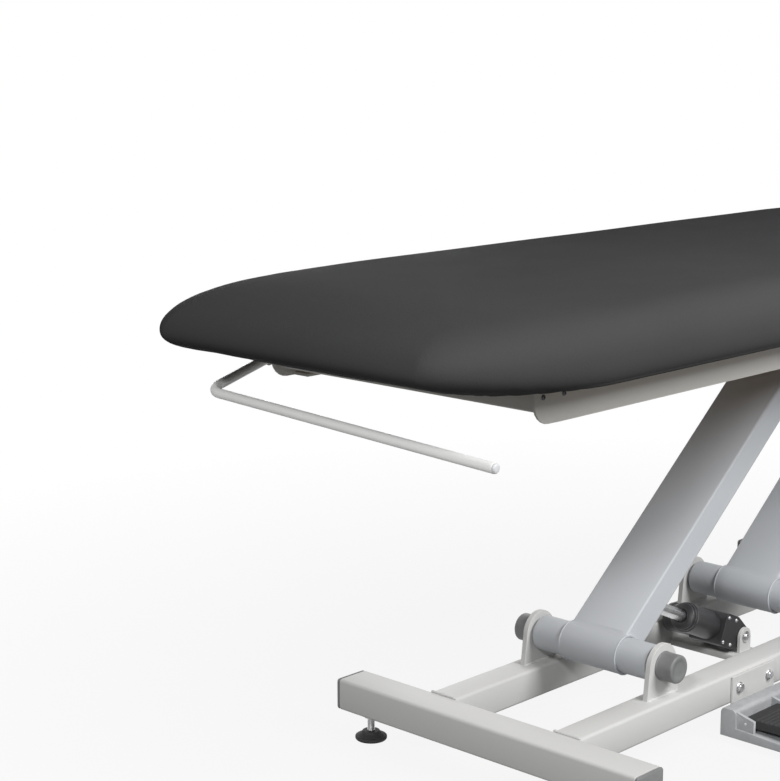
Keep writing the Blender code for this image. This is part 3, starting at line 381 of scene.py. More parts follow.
def drawn_steel():
    """Bright steel: fine lines stretched along one axis, faint stains and an uneven shine."""
    tree, give = new_group("drawn_steel", {"Along": 40.0, "Across": 2600.0})
    where = place_on(tree)
    stain_band = (0.5, 0.75)
    counts = add(tree, "ShaderNodeCombineXYZ", {0: give["Along"], 1: give["Across"], 2: give["Across"]})
    lines = combine(tree, "MULTIPLY", where, counts.outputs[0])
    scratch = noise(tree, lines, scale=1.0, detail=3.0, rough=0.6)
    stain = noise(tree, where, scale=45.0, detail=4.0, rough=0.6)
    darker = spread(tree, stain, stain_band, to=(0.0, -0.12))
    duller = spread(tree, stain, stain_band, to=(0.0, 0.15))
    tone = reckon(tree, "ADD", spread(tree, scratch, NOISE_BAND, to=(0.90, 1.04)), darker)
    rough = reckon(tree, "ADD", spread(tree, scratch, NOISE_BAND, to=(-0.05, 0.08)), duller)
    return close_group(tree, tone, rough, scratch)


def birch_ply():
    """Birch plywood: long grain on the faces, and plies of 1.4 mm that show as bands on the edges."""
    tree, give = new_group("birch_ply", {"Grain": 60.0})
    where = place_on(tree)
    two_plies = 0.0028
    figure_stretch = (0.06, 1.0, 1.0)
    fibre_stretch = (0.02, 1.0, 1.0)
    figure = noise(tree, stretched(tree, where, figure_stretch), give["Grain"], detail=5.0, rough=0.6)
    fibre = noise(tree, stretched(tree, where, fibre_stretch), scale=900.0, detail=2.0, rough=0.5)
    plies = reckon(tree, "SINE", reckon(tree, "MULTIPLY", upright_on(tree, where), FULL_TURN / two_plies))
    bands = spread(tree, plies, band=(-0.2, 0.2), to=(-0.10, 0.06))
    grain = reckon(tree, "ADD", spread(tree, figure, NOISE_BAND, to=(0.72, 1.12)), bands)
    tone = reckon(tree, "ADD", grain, spread(tree, fibre, NOISE_BAND, to=(-0.08, 0.08)))
    rough = spread(tree, fibre, NOISE_BAND, to=(-0.05, 0.08))
    return close_group(tree, tone, rough, fibre)


EFFECTS = {make.__name__: make() for make in (vinyl_grain, powder_coat, moulded_skin, drawn_steel, birch_ply)}


def finish(name, slot, effect, colour, rough, bump, metallic=0.0, specular=0.5, settings=None):
    """Material: one colour times the effect's tone, one roughness plus the effect's change, and a bump of the
    given depth in metres."""
    look = bpy.data.materials.new(name)
    look.use_nodes = True
    look["slot"] = slot
    look.diffuse_color = (*colour, 1.0)
    tree = look.node_tree
    shader = tree.nodes["Principled BSDF"]
    shader.inputs["Metallic"].default_value = metallic
    shader.inputs["Specular IOR Level"].default_value = specular
    used = tree.nodes.new("ShaderNodeGroup")
    used.node_tree = EFFECTS[effect]
    for key, value in (settings or {}).items():
        used.inputs[key].default_value = value
    tint = add(tree, "ShaderNodeVectorMath", {0: colour, "Scale": used.outputs["Tone"]}, operation="SCALE")
    tree.links.new(tint.outputs[0], shader.inputs["Base Color"])
    tree.links.new(reckon(tree, "ADD", used.outputs["Roughness"], rough), shader.inputs["Roughness"])
    depth = {"Height": used.outputs["Height"], "Strength": 1.0, "Distance": bump}
    relief = add(tree, "ShaderNodeBump", depth)
    tree.links.new(relief.outputs[0], shader.inputs["Normal"])
    return look


VINYL = finish("charcoal_vinyl", "upholstery", "vinyl_grain", colour=(0.0555, 0.0555, 0.056), rough=0.58,
               bump=0.00010, specular=0.001)
# Bed-frame paint: a warm grey of its own, set darker than the floor frame's paint of the same slot, which is
# painted shade from the cushion's overhang.
FRAME = finish("warm_grey_paint", "frame_paint", "powder_coat", colour=(0.474, 0.463, 0.437), rough=0.50,
               bump=0.00006, specular=0.35)
FLOOR_FRAME = finish("floor_frame_paint", "frame_paint", "powder_coat", colour=(0.60, 0.60, 0.59), rough=0.52,
                     bump=0.00006, specular=0.35, settings={"Dust": 0.10})
ARM = finish("cool_grey_paint", "arm_paint", "powder_coat", colour=(0.49, 0.51, 0.535), rough=0.56,
             bump=0.00006, specular=0.3)
ROD = finish("pale_rod_paint", "rod_paint", "powder_coat", colour=(0.80, 0.80, 0.79), rough=0.42,
             bump=0.00001, specular=0.3)
# Plug of grey plastic at the rod's end, whose grey is also set darker than the rod's paint to stand for shade on
# the lit end: partly painted shade.
PLUG = finish("pale_plug_plastic", "grey_plastic", "moulded_skin", colour=(0.58, 0.59, 0.60), rough=0.44,
              bump=0.00001)
PLY = finish("birch_plywood", "plywood", "birch_ply", colour=(0.42, 0.29, 0.18), rough=0.62, bump=0.00008)
CAP = finish("slate_cap_plastic", "cap_plastic", "moulded_skin", colour=(0.180, 0.183, 0.183), rough=0.48,
             bump=0.00004)
BLACK = finish("black_housing_plastic", "black_plastic", "moulded_skin", colour=(0.028, 0.028, 0.030),
               rough=0.42, bump=0.00005)
GREY = finish("grey_switch_plastic", "grey_plastic", "moulded_skin", colour=(0.38, 0.39, 0.40), rough=0.46,
              bump=0.00005)
RUBBER = finish("black_rubber", "rubber", "moulded_skin", colour=(0.024, 0.024, 0.025), rough=0.74,
                bump=0.00008, settings={"Rub": 0.6})
STEEL = finish("bright_steel", "steel", "drawn_steel", colour=(0.62, 0.62, 0.63), rough=0.26, bump=0.00001,
               metallic=1.0)
ZINC = finish("dark_screw_steel", "black_plastic", "drawn_steel", colour=(0.045, 0.045, 0.048), rough=0.38,
              bump=0.00001, metallic=0.6)


# Cushion, close to its solid, with a softer shoulder and crown

PAD_LENGTH = 1.95
PAD_HALF_WIDTH = 0.3275
CORNER_ALONG = 0.285
CORNER_ACROSS = 0.100
CORNER_POWER = 1.84
CREST_CORNER_POWER = 2.8
LEAST_CORNER = 0.02
UNDER_HEIGHT = 0.040
OVER_HEIGHT = 0.052
CROWN = 0.010
CROWN_POWER_ACROSS = 2
CROWN_POWER_ALONG = 4
UNDERCUT_SIDE = 0.0236
UNDERCUT_END = 0.1917
UNDERCUT_POWER = 2.3
SHOULDER_REACH = 1.5
SHOULDER_POWER = 3.0
SHOULDER_SIDE = 0.0441 * SHOULDER_REACH
SHOULDER_END = 0.1544 * SHOULDER_REACH
LIP_WIDTH = 0.012
BOARD_GAP = 0.0003
CORNER_STEPS = 40
END_STEPS = 12
SIDE_STEPS = 40
UNDER_ROWS = 26
OVER_ROWS = 35
CREST_ROWS = 29
HELD_ROWS = 4

# Slack on top, in radians per metre, with phases
SLACK_DEPTH = 0.00030
SLACK_ALONG = 9.0
SLACK_ALONG_PHASE = 1.3
SLACK_ACROSS = 11.0
SLACK_ACROSS_PHASE = 0.4
SLANT_SHARE = 0.6
SLANT_ALONG = 17.0
SLANT_ACROSS = 8.0

# Pleats under the ends, in groups round the outline
PLEAT_DEPTH = 0.0011
PLEAT_COUNT = 74.0
PLEAT_GROUPS = 9.0
PLEAT_PHASE = 0.7
PLEAT_START = 0.62
PLEAT_FADE = 0.12
PLEAT_HEIGHT = 0.022

# Cloth that draws the cover tight
COVER_PRESSURE = 4.0
COVER_SHRINK = 0.003
COVER_FRAMES = 20
MOST_GIVE = 0.0012
HELD_HEIGHT = 0.0008
LEAST_LENGTH = 1e-9
CUSHION_SHARP = 60.0


def cushion_outline(end_inset, side_inset, shrink, corner_power):
    """Outline of the top at one level, one row for each inset: straight sides and ends joined by quarter
    superellipses, x = length - along + along cos^(2/p), y = width - across + across sin^(2/p), whose sizes
    are smaller by shrink times the inset."""
    corner = np.linspace(0.0, pi / 2, CORNER_STEPS)
    power = (2 / corner_power)[:, None]
    half_width = (PAD_HALF_WIDTH - side_inset)[:, None]
    half_length = (PAD_LENGTH / 2 - end_inset)[:, None]
    across = np.maximum(CORNER_ACROSS - shrink * side_inset, LEAST_CORNER)[:, None]
    across = np.minimum(across, half_width)
    along = np.maximum(CORNER_ALONG - shrink * end_inset, LEAST_CORNER)[:, None]
    corner_x = half_length - along + along * np.cos(corner) ** power
    corner_y = half_width - across + across * np.sin(corner) ** power
    end_share = np.linspace(0.0, 1.0, END_STEPS + 1)[:-1]
    side_share = np.linspace(0.0, 1.0, SIDE_STEPS + 1)[1:]
    end_x = np.repeat(half_length, END_STEPS, axis=1)
    end_y = (half_width - across) * end_share
    side_x = (half_length - along) * (1.0 - side_share)
    side_y = np.repeat(half_width, SIDE_STEPS, axis=1)
    quarter_x = np.hstack((end_x, corner_x, side_x))
    quarter_y = np.hstack((end_y, corner_y, side_y))
    half_x = np.hstack((quarter_x, -quarter_x[:, -2::-1]))
    half_y = np.hstack((quarter_y, quarter_y[:, -2::-1]))
    return np.hstack((half_x, half_x[:, -2:0:-1])), np.hstack((half_y, -half_y[:, -2:0:-1]))


def cushion_insets(undercut, shoulder, under_share, over, crest):
    """Insets of the rows from the board over the lip, the undercut and the shoulder to the middle line."""
    lip = undercut + LIP_WIDTH
    inner = PAD_HALF_WIDTH - (UNDERCUT_SIDE + LIP_WIDTH)
    reach = PAD_HALF_WIDTH - SHOULDER_SIDE
    held = (lip + inner, lip, lip, undercut + LIP_WIDTH / 2)
    return np.concatenate((held, under_share * undercut, over * shoulder, shoulder + crest * reach))


def cushion_points():
    """Cushion: an undercut of 1 - sin^(2/p) by cos^(2/p), a shoulder of height sqrt(1 - (1 - s)^3) that
    fades into a crown of (1 - (y/w)^2)(1 - (x/l)^4), with slack of under a millimetre on top and pleats
    under the ends."""
    ceiling = high("pad_board")[2] + BOARD_GAP
    bottom = low("main_pad")[2]
    nose = bottom + UNDER_HEIGHT
    top = nose + OVER_HEIGHT
    under = np.linspace(0.0, pi / 2, UNDER_ROWS)
    over = 1.0 - np.cos(np.linspace(0.0, pi / 2, OVER_ROWS + 1)[1:])
    crest = np.linspace(0.0, 1.0, CREST_ROWS + 1)[1:]
    under_share = 1.0 - np.sin(under) ** (2 / UNDERCUT_POWER)
    under_height = nose - UNDER_HEIGHT * np.clip(np.cos(under), 0.0, 1.0) ** (2 / UNDERCUT_POWER)
    over_height = nose + OVER_HEIGHT * np.sqrt(1.0 - (1.0 - over) ** SHOULDER_POWER)
    held = (ceiling, ceiling, bottom, bottom)
    height = np.concatenate((held, under_height, over_height, np.full(CREST_ROWS, top)))
    lower = np.zeros(HELD_ROWS + UNDER_ROWS)
    raised = np.concatenate((lower, over, np.ones(CREST_ROWS)))
    shrink = np.concatenate((lower + 1.0, np.zeros(OVER_ROWS + CREST_ROWS)))
    corner_power = CORNER_POWER + (CREST_CORNER_POWER - CORNER_POWER) * raised
    end_inset = cushion_insets(UNDERCUT_END, SHOULDER_END, under_share, over, crest)
    side_inset = cushion_insets(UNDERCUT_SIDE, SHOULDER_SIDE, under_share, over, crest)
    x, y = cushion_outline(end_inset, side_inset, shrink, corner_power)
    z = np.repeat(height[:, None], x.shape[1], axis=1)
    lifted = raised ** 2 * (3 - 2 * raised)
    crown_across = 1.0 - (y / PAD_HALF_WIDTH) ** CROWN_POWER_ACROSS
    crown_along = 1.0 - (2 * x / PAD_LENGTH) ** CROWN_POWER_ALONG
    waves = np.sin(SLACK_ALONG * x + SLACK_ALONG_PHASE) * np.sin(SLACK_ACROSS * y + SLACK_ACROSS_PHASE)
    slack = waves + SLANT_SHARE * np.sin(SLANT_ALONG * x - SLANT_ACROSS * y)
    z = z + lifted[:, None] * (CROWN * (crown_across * crown_along) + SLACK_DEPTH * slack)
    turn = turn_angles(x.shape[1])
    ends = np.clip((np.abs(x) - PLEAT_START) / PLEAT_FADE, 0.0, 1.0)
    tucked = np.clip(1.0 - (height - bottom) / PLEAT_HEIGHT, 0.0, 1.0)[:, None]
    tucked[:HELD_ROWS - 1] = 0.0
    groups = (1.0 + np.sin(turn * PLEAT_GROUPS + PLEAT_PHASE)) / 2
    pleat = np.sin(turn * PLEAT_COUNT)[None, :] * groups[None, :]
    z = z + PLEAT_DEPTH * ends * tucked * pleat
    return np.stack((x, y, z), axis=-1)


def draw_tight(cushion):
    """Cover drawn tight over its foam: frames of cloth under a light inner pressure, held along the
    stapled lip, with no point moved further than MOST_GIVE."""
    mesh = cushion.data
    start = np.empty(len(mesh.vertices) * 3)
    mesh.vertices.foreach_get("co", start)
    start = start.reshape(-1, 3)
    held = cushion.vertex_groups.new(name="stapled_lip")
    held.add(np.flatnonzero(start[:, 2] < high("pad_board")[2] + HELD_HEIGHT).tolist(), 1.0, "REPLACE")
    cover = cushion.modifiers.new("cover", "CLOTH")
    cover.settings.vertex_group_mass = held.name
    cover.settings.use_pressure = True
    cover.settings.uniform_pressure_force = COVER_PRESSURE
    cover.settings.shrink_min = COVER_SHRINK
    cover.settings.effector_weights.gravity = 0.0
    cover.point_cache.frame_end = COVER_FRAMES
    for step in range(1, COVER_FRAMES + 1):
        bpy.context.scene.frame_set(step)
    settled = cushion.evaluated_get(bpy.context.evaluated_depsgraph_get()).data
    ended = np.empty(len(mesh.vertices) * 3)
    settled.vertices.foreach_get("co", ended)
    give = ended.reshape(-1, 3) - start
    size = np.linalg.norm(give, axis=-1, keepdims=True)
    give = give * (MOST_GIVE * np.tanh(size / MOST_GIVE) / np.maximum(size, LEAST_LENGTH))
    cushion.modifiers.remove(cover)
    cushion.vertex_groups.remove(held)
    mesh.vertices.foreach_set("co", (start + give).ravel())
    mesh.update()
    bpy.context.scene.frame_set(1)


def make_cushion():
    """Cushion that stands for the pad's solid."""
    made = surface("cushion", cushion_points(), VINYL, "bed", ("main_pad",), CUSHION_SHARP)
    draw_tight(made)


# Solids that keep their shape, with merged faces and softened edges

SOLID_MERGE_DISTANCE = 2e-6
FLAT_ANGLE = 0.8
SOLID_SHARP = 32.0
EDGE_ANGLE = 40.0
EDGE_SEGMENTS = 2
PAINTED_EDGE = 0.0008
INLET_EDGE = 0.0006
STEEL_EDGE = 0.0004
RUBBER_EDGE = 0.0003


def dressed(node, look, edge=0.0):
    """Copy of a solid whose loose triangles are merged into whole faces, with its sharp edges rounded by
    the given width."""
    work = bmesh.new()
    work.from_mesh(NODES[node].data)
    bmesh.ops.remove_doubles(work, verts=work.verts, dist=SOLID_MERGE_DISTANCE)
    bmesh.ops.dissolve_limit(work, angle_limit=radians(FLAT_ANGLE), verts=work.verts, edges=work.edges)
    mesh = bpy.data.meshes.new(f"{node}_skin")
    work.to_mesh(mesh)
    work.free()
    made = placed(f"{node}_skin", mesh, look, BODY_OF[node], (node,), SOLID_SHARP)
    if edge > 0.0:
        bevel = made.modifiers.new("soft_edge", "BEVEL")
        bevel.width = edge
        bevel.segments = EDGE_SEGMENTS
        bevel.limit_method = "ANGLE"
        bevel.angle_limit = radians(EDGE_ANGLE)
        bevel.harden_normals = True


def dress_solids():
    """Give the solids that stay as they are their finishes."""
    for node in ("rail_near", "rail_far", "end_cross_roll", "end_cross_head", "bearer_front", "bearer_rear"):
        dressed(node, FRAME)
    for node in ("base_beam_near", "base_beam_far", "foot_beam_roll", "foot_beam_head", "actuator_carrier",
                 "switch_bracket"):
        dressed(node, FLOOR_FRAME, PAINTED_EDGE)
    for node in ("front_arm", "rear_arm", "lower_tube_front", "lower_tube_rear", "upper_tube_front",
                 "upper_tube_rear"):
        dressed(node, ARM, PAINTED_EDGE)
    dressed("pad_board", PLY, PAINTED_EDGE)
    for node in named("foot_plug"):
        dressed(node, CAP)
    dressed("mains_inlet", CAP, INLET_EDGE)
    dressed("control_box", BLACK)
    for node in ("actuator_gear", "actuator_tube", "actuator_motor"):
        dressed(node, BLACK, PAINTED_EDGE)
    for node in ("actuator_rod", "actuator_arm_pin", "actuator_floor_pin", "pedal_pin"):
        dressed(node, STEEL, STEEL_EDGE)
    dressed("switch_base", GREY)
    for node in ("pedal_up", "pedal_down"):
        dressed(node, RUBBER, RUBBER_EDGE)


# Paper-roll rod, bent as its solid is, with a shorter arm that ends in a plug

ROD_RADIUS = 0.007
ROD_BEND = 0.024
ROD_REACH = 0.1095
ROD_DROP = 0.0035
ROD_PLACE = 0.2533
ROD_SPAN = 0.530
ROD_SAG = 0.0261
ROD_TIP_ROUND = 0.0012
SOCKET_DEPTH = 0.032
SOCKET_GAP = 0.002
NECK_STEPS = 12
BEND_STEPS = 25
SPAN_STEPS = 60
TIP_STEPS = 6
ROD_SIDES = 40
PLUG_HEAD = 0.0042
PLUG_PROFILE = ((0.0, -0.0005, 0.0), (0.0066, -0.0005, 0.0), (0.0066, 0.0017, 0.0007),
                (0.0058, 0.0036, 0.0014), (0.0030, PLUG_HEAD, 0.0016), (0.0, PLUG_HEAD, 0.0))


def make_roll_bar():
    """Paper-roll rod: a straight run, a quarter bend and a straight run; a circle carried along it, with a
    rounded rim, and a domed plug turned on the line of the last run."""
    rise = -np.array(JOINTS["roll_rod_draw"]["axis"], float)
    corner = np.array((low("rail_near")[0] - ROD_REACH, ROD_PLACE, low("rail_near")[2] - ROD_DROP))
    inner = corner + rise * ((ROD_REACH + SOCKET_GAP) / rise[0] + SOCKET_DEPTH)
    reach = np.array((0.0, -ROD_SPAN, -ROD_SAG))
    back = unit(inner - corner)
    ahead = unit(reach)
    tip = corner + reach - ahead * PLUG_HEAD
    side = unit(np.cross(back, ahead))
    half = np.arccos(np.dot(back, ahead)) / 2
    centre = corner + unit(back + ahead) * (ROD_BEND / sin(half))
    spoke = corner + back * (ROD_BEND / np.tan(half)) - centre
    sweep = (pi - 2 * half) * np.linspace(0.0, 1.0, BEND_STEPS)[:, None]
    arc = centre + spoke * np.cos(sweep) - np.cross(side, spoke) * np.sin(sweep)
    first = inner + (arc[0] - inner) * np.linspace(0.0, 1.0, NECK_STEPS + 1)[:-1, None]
    last = tip - ahead * ROD_TIP_ROUND
    straight = arc[-1] + (last - arc[-1]) * np.linspace(0.0, 1.0, SPAN_STEPS)[1:, None]
    curl = np.linspace(0.0, pi / 2, TIP_STEPS + 1)[1:, None]
    rim = last + ahead * ROD_TIP_ROUND * np.sin(curl)
    path = np.concatenate((first[:1], first, arc, straight, rim, tip[None]))
    radius = np.full(len(path), ROD_RADIUS)
    radius[-TIP_STEPS - 1:-1] = ROD_RADIUS - ROD_TIP_ROUND * (1.0 - np.cos(curl[:, 0]))
    radius[[0, -1]] = 0.0
    run = np.gradient(path, axis=0)
    run[[0, 1]] = -back
    run[-TIP_STEPS - 2:] = ahead
    bar = carried(path, ring_section(radius, ROD_SIDES), side, run)
    surface("paper_roll_bar", bar, ROD, "roll_rod", ("roll_rod",))
    # The plug's darker grey is partly painted shade on the rod's lit end.
    surface("roll_bar_plug", turned(eased(PLUG_PROFILE), tip, ahead, ROD_SIDES), PLUG, "roll_rod")


# Pivot caps and screws

CAP_FLANGE = ((0.0, 0.0, 0.0), (0.0229, 0.0, 0.0), (0.0229, 0.0016, 0.0004), (0.0222, 0.0022, 0.0004))
CAP_FACE = ((0.0222, 0.0, 0.0035), (0.0150, 0.0, 0.0030), (0.0120, -0.0009, 0.0030), (0.0, -0.0009, 0.0))
HEAD_SIDES = 36
HEAD_TURN = radians(62.0)
HEAD_STEPS = 8
HEAD_RIM = 0.25
SOCKET_FLOOR = 0.35
SOCKET_PIT = 0.28
SCREW_SHARP = 30.0
RAIL_SCREW_SOCKET = 0.00145


def seat_of(node, side):
    """Middle of the face of a solid's box that looks to the middle of the table, and the box's width from
    there."""
    seat = middle(node)
    seat[1] = low(node)[1] if side > 0 else high(node)[1]
    return seat, high(node)[1] - low(node)[1]


def make_pivot_caps():
    """Push-in caps on the pivot ends: a turned profile with a rounded rim, a shallow dished face and a
    thin seat flange."""
    for node in sorted(node for node in NODES if "_cap_" in node):
        side = 1.0 if node.endswith("far") else -1.0
        seat, length = seat_of(node, side)
        face = [(radius, length + level, rounding) for radius, level, rounding in CAP_FACE]
        cap = turned(eased([*CAP_FLANGE, *face]), seat, (0.0, side, 0.0))
        surface(f"{node}_plug", cap, CAP, BODY_OF[node], (node,))


def button_head(radius, tall, socket):
    """Button-head screw along +Z: a domed turned head with a six-sided socket sunk into it."""
    dome = np.linspace(0.0, HEAD_TURN, HEAD_STEPS)
    rise = HEAD_RIM + (1.0 - HEAD_RIM) * np.sin(dome) / sin(HEAD_TURN)
    profile = np.stack((radius * np.cos(dome), tall * rise), axis=-1)
    profile = np.concatenate(([(0.0, 0.0), (radius, 0.0)], profile))
    head = turned(profile, ORIGIN, UP, HEAD_SIDES)
    angle = turn_angles(HEAD_SIDES)
    walls = hexagon(socket, angle)
    pit = stacked(((walls, tall), (walls, tall * SOCKET_FLOOR), (0.0, tall * SOCKET_PIT)), angle)
    return np.concatenate((head, pit))


def make_rail_screws():
    """Button-head screws at the rail ends."""
    for node in named("rail_screw"):
        side = 1.0 if "_far_" in node else -1.0
        seat, tall = seat_of(node, side)
        head = button_head((high(node)[0] - low(node)[0]) / 2, tall, RAIL_SCREW_SOCKET)
        head = aimed(head, seat, (0.0, side, 0.0))
        surface(f"{node}_head", head, ZINC, "bed", (node,), SCREW_SHARP)


# Levelling feet

FOOT_DISC = ((0.0, 0.0, 0.0), (0.0235, 0.0, 0.0), (0.025, 0.0015, 0.001), (0.025, 0.0055, 0.0012),
             (0.0225, 0.0066, 0.0006), (0.0205, 0.0070, 0.0006), (0.0195, 0.0080, 0.0006),
             (0.0150, 0.0105, 0.002))
FOOT_NECK = 0.0135
FOOT_NECK_ROUND = 0.0008
THREAD_CREST = 0.0060
THREAD_DEPTH = 0.0009
THREAD_SHAPE = 1.2
THREAD_PITCH = 0.00175
THREAD_START = 0.0046
THREAD_ROWS = 90
THREAD_SIDES = 32
THREAD_END = 0.0081
NUT_TALL = 0.0080
NUT_FLAT = 0.0092
NUT_CORNER = 0.0106
NUT_FACE = 0.0090
NUT_CHAMFER = 0.0008
NUT_SIDES = 48
FOOT_WASHER = ((0.0, 0.0, 0.0), (0.0108, 0.0, 0.0004), (0.0108, 0.0012, 0.0004), (0.0, 0.0012, 0.0))
FOOT_WASHER_DROP = 0.0094
WASHER_SIDES = 40
NUT_SHARP = 28.0


def threaded_stem(bottom, top):
    """Stem on the Z axis whose radius is a ridge of angle minus height."""
    rise = np.linspace(bottom, top, THREAD_ROWS)
    angle = turn_angles(THREAD_SIDES)
    turn = (angle[None, :] - rise[:, None] * (FULL_TURN / THREAD_PITCH)) / FULL_TURN % 1.0
    ridge = THREAD_CREST - THREAD_DEPTH * np.abs(2.0 * turn - 1.0) ** THREAD_SHAPE
    ridge[0] = THREAD_START
    levels = [(0.0, bottom), *zip(ridge, rise), (0.0, top)]
    return stacked(levels, angle)


def chamfered_nut():
    """Six-sided nut along +Z whose corners are cut back to a circle and chamfered."""
    angle = turn_angles(NUT_SIDES)
    flat = np.minimum(hexagon(NUT_FLAT, angle), NUT_CORNER)
    face = np.minimum(flat, NUT_FACE)
    levels = ((0.0, NUT_TALL), (face, NUT_TALL), (flat, NUT_TALL - NUT_CHAMFER), (flat, NUT_CHAMFER),
              (face, 0.0), (0.0, 0.0))
    return stacked(levels, angle)


def make_levelling_feet():
    """Levelling feet: a ribbed rubber disc, and a threaded stem with a washer and a chamfered nut."""
    for node in named("level_pad"):
        label = node[len("level_pad_"):]
        centre = middle(node)
        centre[2] = 0.0
        tall = high(node)[2]
        disc = eased([*FOOT_DISC, (FOOT_NECK, tall, FOOT_NECK_ROUND), (0.0, tall, 0.0)])
        surface(f"foot_rubber_{label}", turned(disc, centre, UP), RUBBER, "base", (node,))
        stem = f"level_stem_{label}"
        top = high(stem)[2]
        thread = threaded_stem(low(stem)[2], top - THREAD_END) + centre
        nut = chamfered_nut() + (centre[0], centre[1], top - NUT_TALL)
        under = (centre[0], centre[1], top - FOOT_WASHER_DROP)
        washer = turned(eased(FOOT_WASHER), under, UP, WASHER_SIDES)
        grids = ((thread, False), (nut, False), (washer, False))
        several(f"foot_stem_{label}", grids, STEEL, "base", (stem,), NUT_SHARP)


# Clamp knob

KNOB_LOBES = 6
KNOB_SIDES = 96
KNOB_RADIUS = 0.011
KNOB_DIP = 0.0013
KNOB_DIP_POWER = 4
KNOB_PROFILE = ((0.0, 0.006, 0.0), (0.0085, 0.006, 0.001), (KNOB_RADIUS, 0.0085, 0.0016),
                (KNOB_RADIUS, 0.0196, 0.002), (0.0070, 0.0198, 0.001), (0.0062, 0.0189, 0.0008),
                (0.0, 0.0189, 0.0))
KNOB_STEM = ((0.0, 0.0), (0.003, 0.0), (0.003, 0.0062), (0.0, 0.0062))
KNOB_STEM_SIDES = 28


def make_clamp_knob():
    """Clamp knob: radius falls by half a cosine between six lobes, with rounded rims, a dished face and a
    steel stem."""
    centre = pivot("roll_knob_turn")
    angle = turn_angles(KNOB_SIDES)
    dip = (1.0 - np.cos(KNOB_LOBES * angle)) / 2
    profile = eased(KNOB_PROFILE)
    depth = np.clip(profile[:, 0] / KNOB_RADIUS, 0.0, 1.0)[:, None] ** KNOB_DIP_POWER
    size = profile[:, :1] - KNOB_DIP * dip[None, :] * depth
    grip = stacked(zip(size, profile[:, 1]), angle)
    surface("clamp_knob", aimed(grip, centre, FAR), BLACK, "roll_knob", ("roll_knob",))
    surface("clamp_stem", turned(KNOB_STEM, centre, FAR, KNOB_STEM_SIDES), STEEL, "roll_knob")


# Lift-arm welds, on arms as their solids are shaped

REST_ANGLE = radians(38.8)
ARM_LENGTH = 0.674
ARM_HALF_WIDTH = 0.0527
ARM_HALF_DEPTH = 0.025
ARM_CORNER_POWER = 14.0
SLEEVE_RADIUS = 0.0313
SLEEVE_HALF_LENGTH = 0.055
WELD_ON_ARM = 0.007
WELD_ON_SLEEVE = 0.005
WELD_ON_SIDE = 0.0018
WELD_PROUD = 0.00012
WELD_ROOT = 0.004
WELD_ROOT_SHARE = 0.94
WELD_STEPS = 400
FILLET_STEPS = 7
RIM_RADIUS = 0.0013
RIM_SINK = 0.0006
RIM_INSET = 0.0009
RIM_STEPS = 73
RIM_SIDES = 12
WELD_SHARP = 80.0


def fillet_section():
    """Closed section of a fillet weld round an arm's end, as (along the arm, square to it, across) places:
    a parabola from the arm's face over the corner, a = sqrt(r^2 - n^2), down to the sleeve, and a root
    inside."""
    angle = turn_angles(WELD_STEPS)
    across = squared(np.cos(angle), ARM_CORNER_POWER)
    normal = squared(np.sin(angle), ARM_CORNER_POWER)
    turn = np.arcsin(normal * ARM_HALF_DEPTH / SLEEVE_RADIUS)
    wider = turn * (1.0 + WELD_ON_SLEEVE / (SLEEVE_RADIUS * turn.max()))
    reach = SLEEVE_RADIUS + WELD_PROUD
    corner = np.stack((SLEEVE_RADIUS * np.cos(turn), normal * ARM_HALF_DEPTH,
                       across * ARM_HALF_WIDTH), axis=-1)
    on_arm = np.stack((corner[:, 0] + WELD_ON_ARM, normal * (ARM_HALF_DEPTH + WELD_PROUD),
                       across * (ARM_HALF_WIDTH + WELD_PROUD)), axis=-1)
    on_sleeve = np.stack((reach * np.cos(wider), reach * np.sin(wider),
                          across * (ARM_HALF_WIDTH + WELD_ON_SIDE)), axis=-1)
    share = np.linspace(0.0, 1.0, FILLET_STEPS)[:, None, None]
    fillet = (1 - share) ** 2 * on_arm + 2 * share * (1 - share) * corner + share ** 2 * on_sleeve
    root = corner - np.array((WELD_ROOT, 0.0, 0.0))
    root[:, 1:] *= WELD_ROOT_SHARE
    return np.concatenate((fillet, root[None]))


def arm_welds(joint, body):
    """Ground fillet welds round both ends of a lift arm, and the rims of its sleeves."""
    foot = pivot(joint)
    way = np.array((cos(REST_ANGLE), 0.0, sin(REST_ANGLE)))
    square = np.array((-sin(REST_ANGLE), 0.0, cos(REST_ANGLE)))
    level = np.array(FAR)
    section = fillet_section()
    angle = np.linspace(0.0, FULL_TURN, RIM_STEPS)
    ring = np.stack((np.cos(angle), np.zeros(RIM_STEPS), np.sin(angle)), axis=-1) * (SLEEVE_RADIUS - RIM_SINK)
    rim = ring_section(np.full(RIM_STEPS, RIM_RADIUS), RIM_SIDES)
    grids = []
    for start, sign in ((0.0, 1.0), (ARM_LENGTH, -1.0)):
        place = start + sign * section[..., :1]
        grids.append((foot + place * way + section[..., 1:2] * square + section[..., 2:3] * level, True))
        for side in BOTH:
            centre = foot + start * way + side * (SLEEVE_HALF_LENGTH - RIM_INSET) * level
            grids.append((carried(centre + ring, rim, level, np.cross(ring, level)), False))
    several(f"{body}_welds", grids, ARM, body, sharp=WELD_SHARP)


# Weld beads of the floor frame and of the frame under the top

BEAD_SIDES = 10
BEAD_STEP = 0.00075
BEAD_LEAST_STEPS = 8
RIPPLE_LENGTH = 0.003
RIPPLE_SHARE = 1 / 12
FLOOR_BEAD = 0.0024
LUG_BEAD = 0.0018
BED_BEAD = 0.0022
EAR_HALF_LENGTH = 0.038
EAR_FACES = (0.1155, 0.1245)
BEAM_END = 0.5297
BEAM_FACES = (0.095, 0.145)
BEAM_BEAD_LOW = 0.048
BEAM_BEAD_HIGH = 0.002
CARRIER_DROP = 0.038
LUG_HALF_LENGTH = 0.015
LUG_FACES = (0.033, 0.039)
CROSS_GAP = 0.0003
CROSS_EASE = 0.003
BEARER_HALF_WIDTH = 0.035
BEARER_RISE = 0.002
BEARER_BEAD_LOW = (0.001, 0.004)
BEARER_BEAD_HIGH = (-0.006, -0.001)
BRACKET_HALF_LENGTH = 0.034
BRACKET_FACES = (0.056, 0.064)


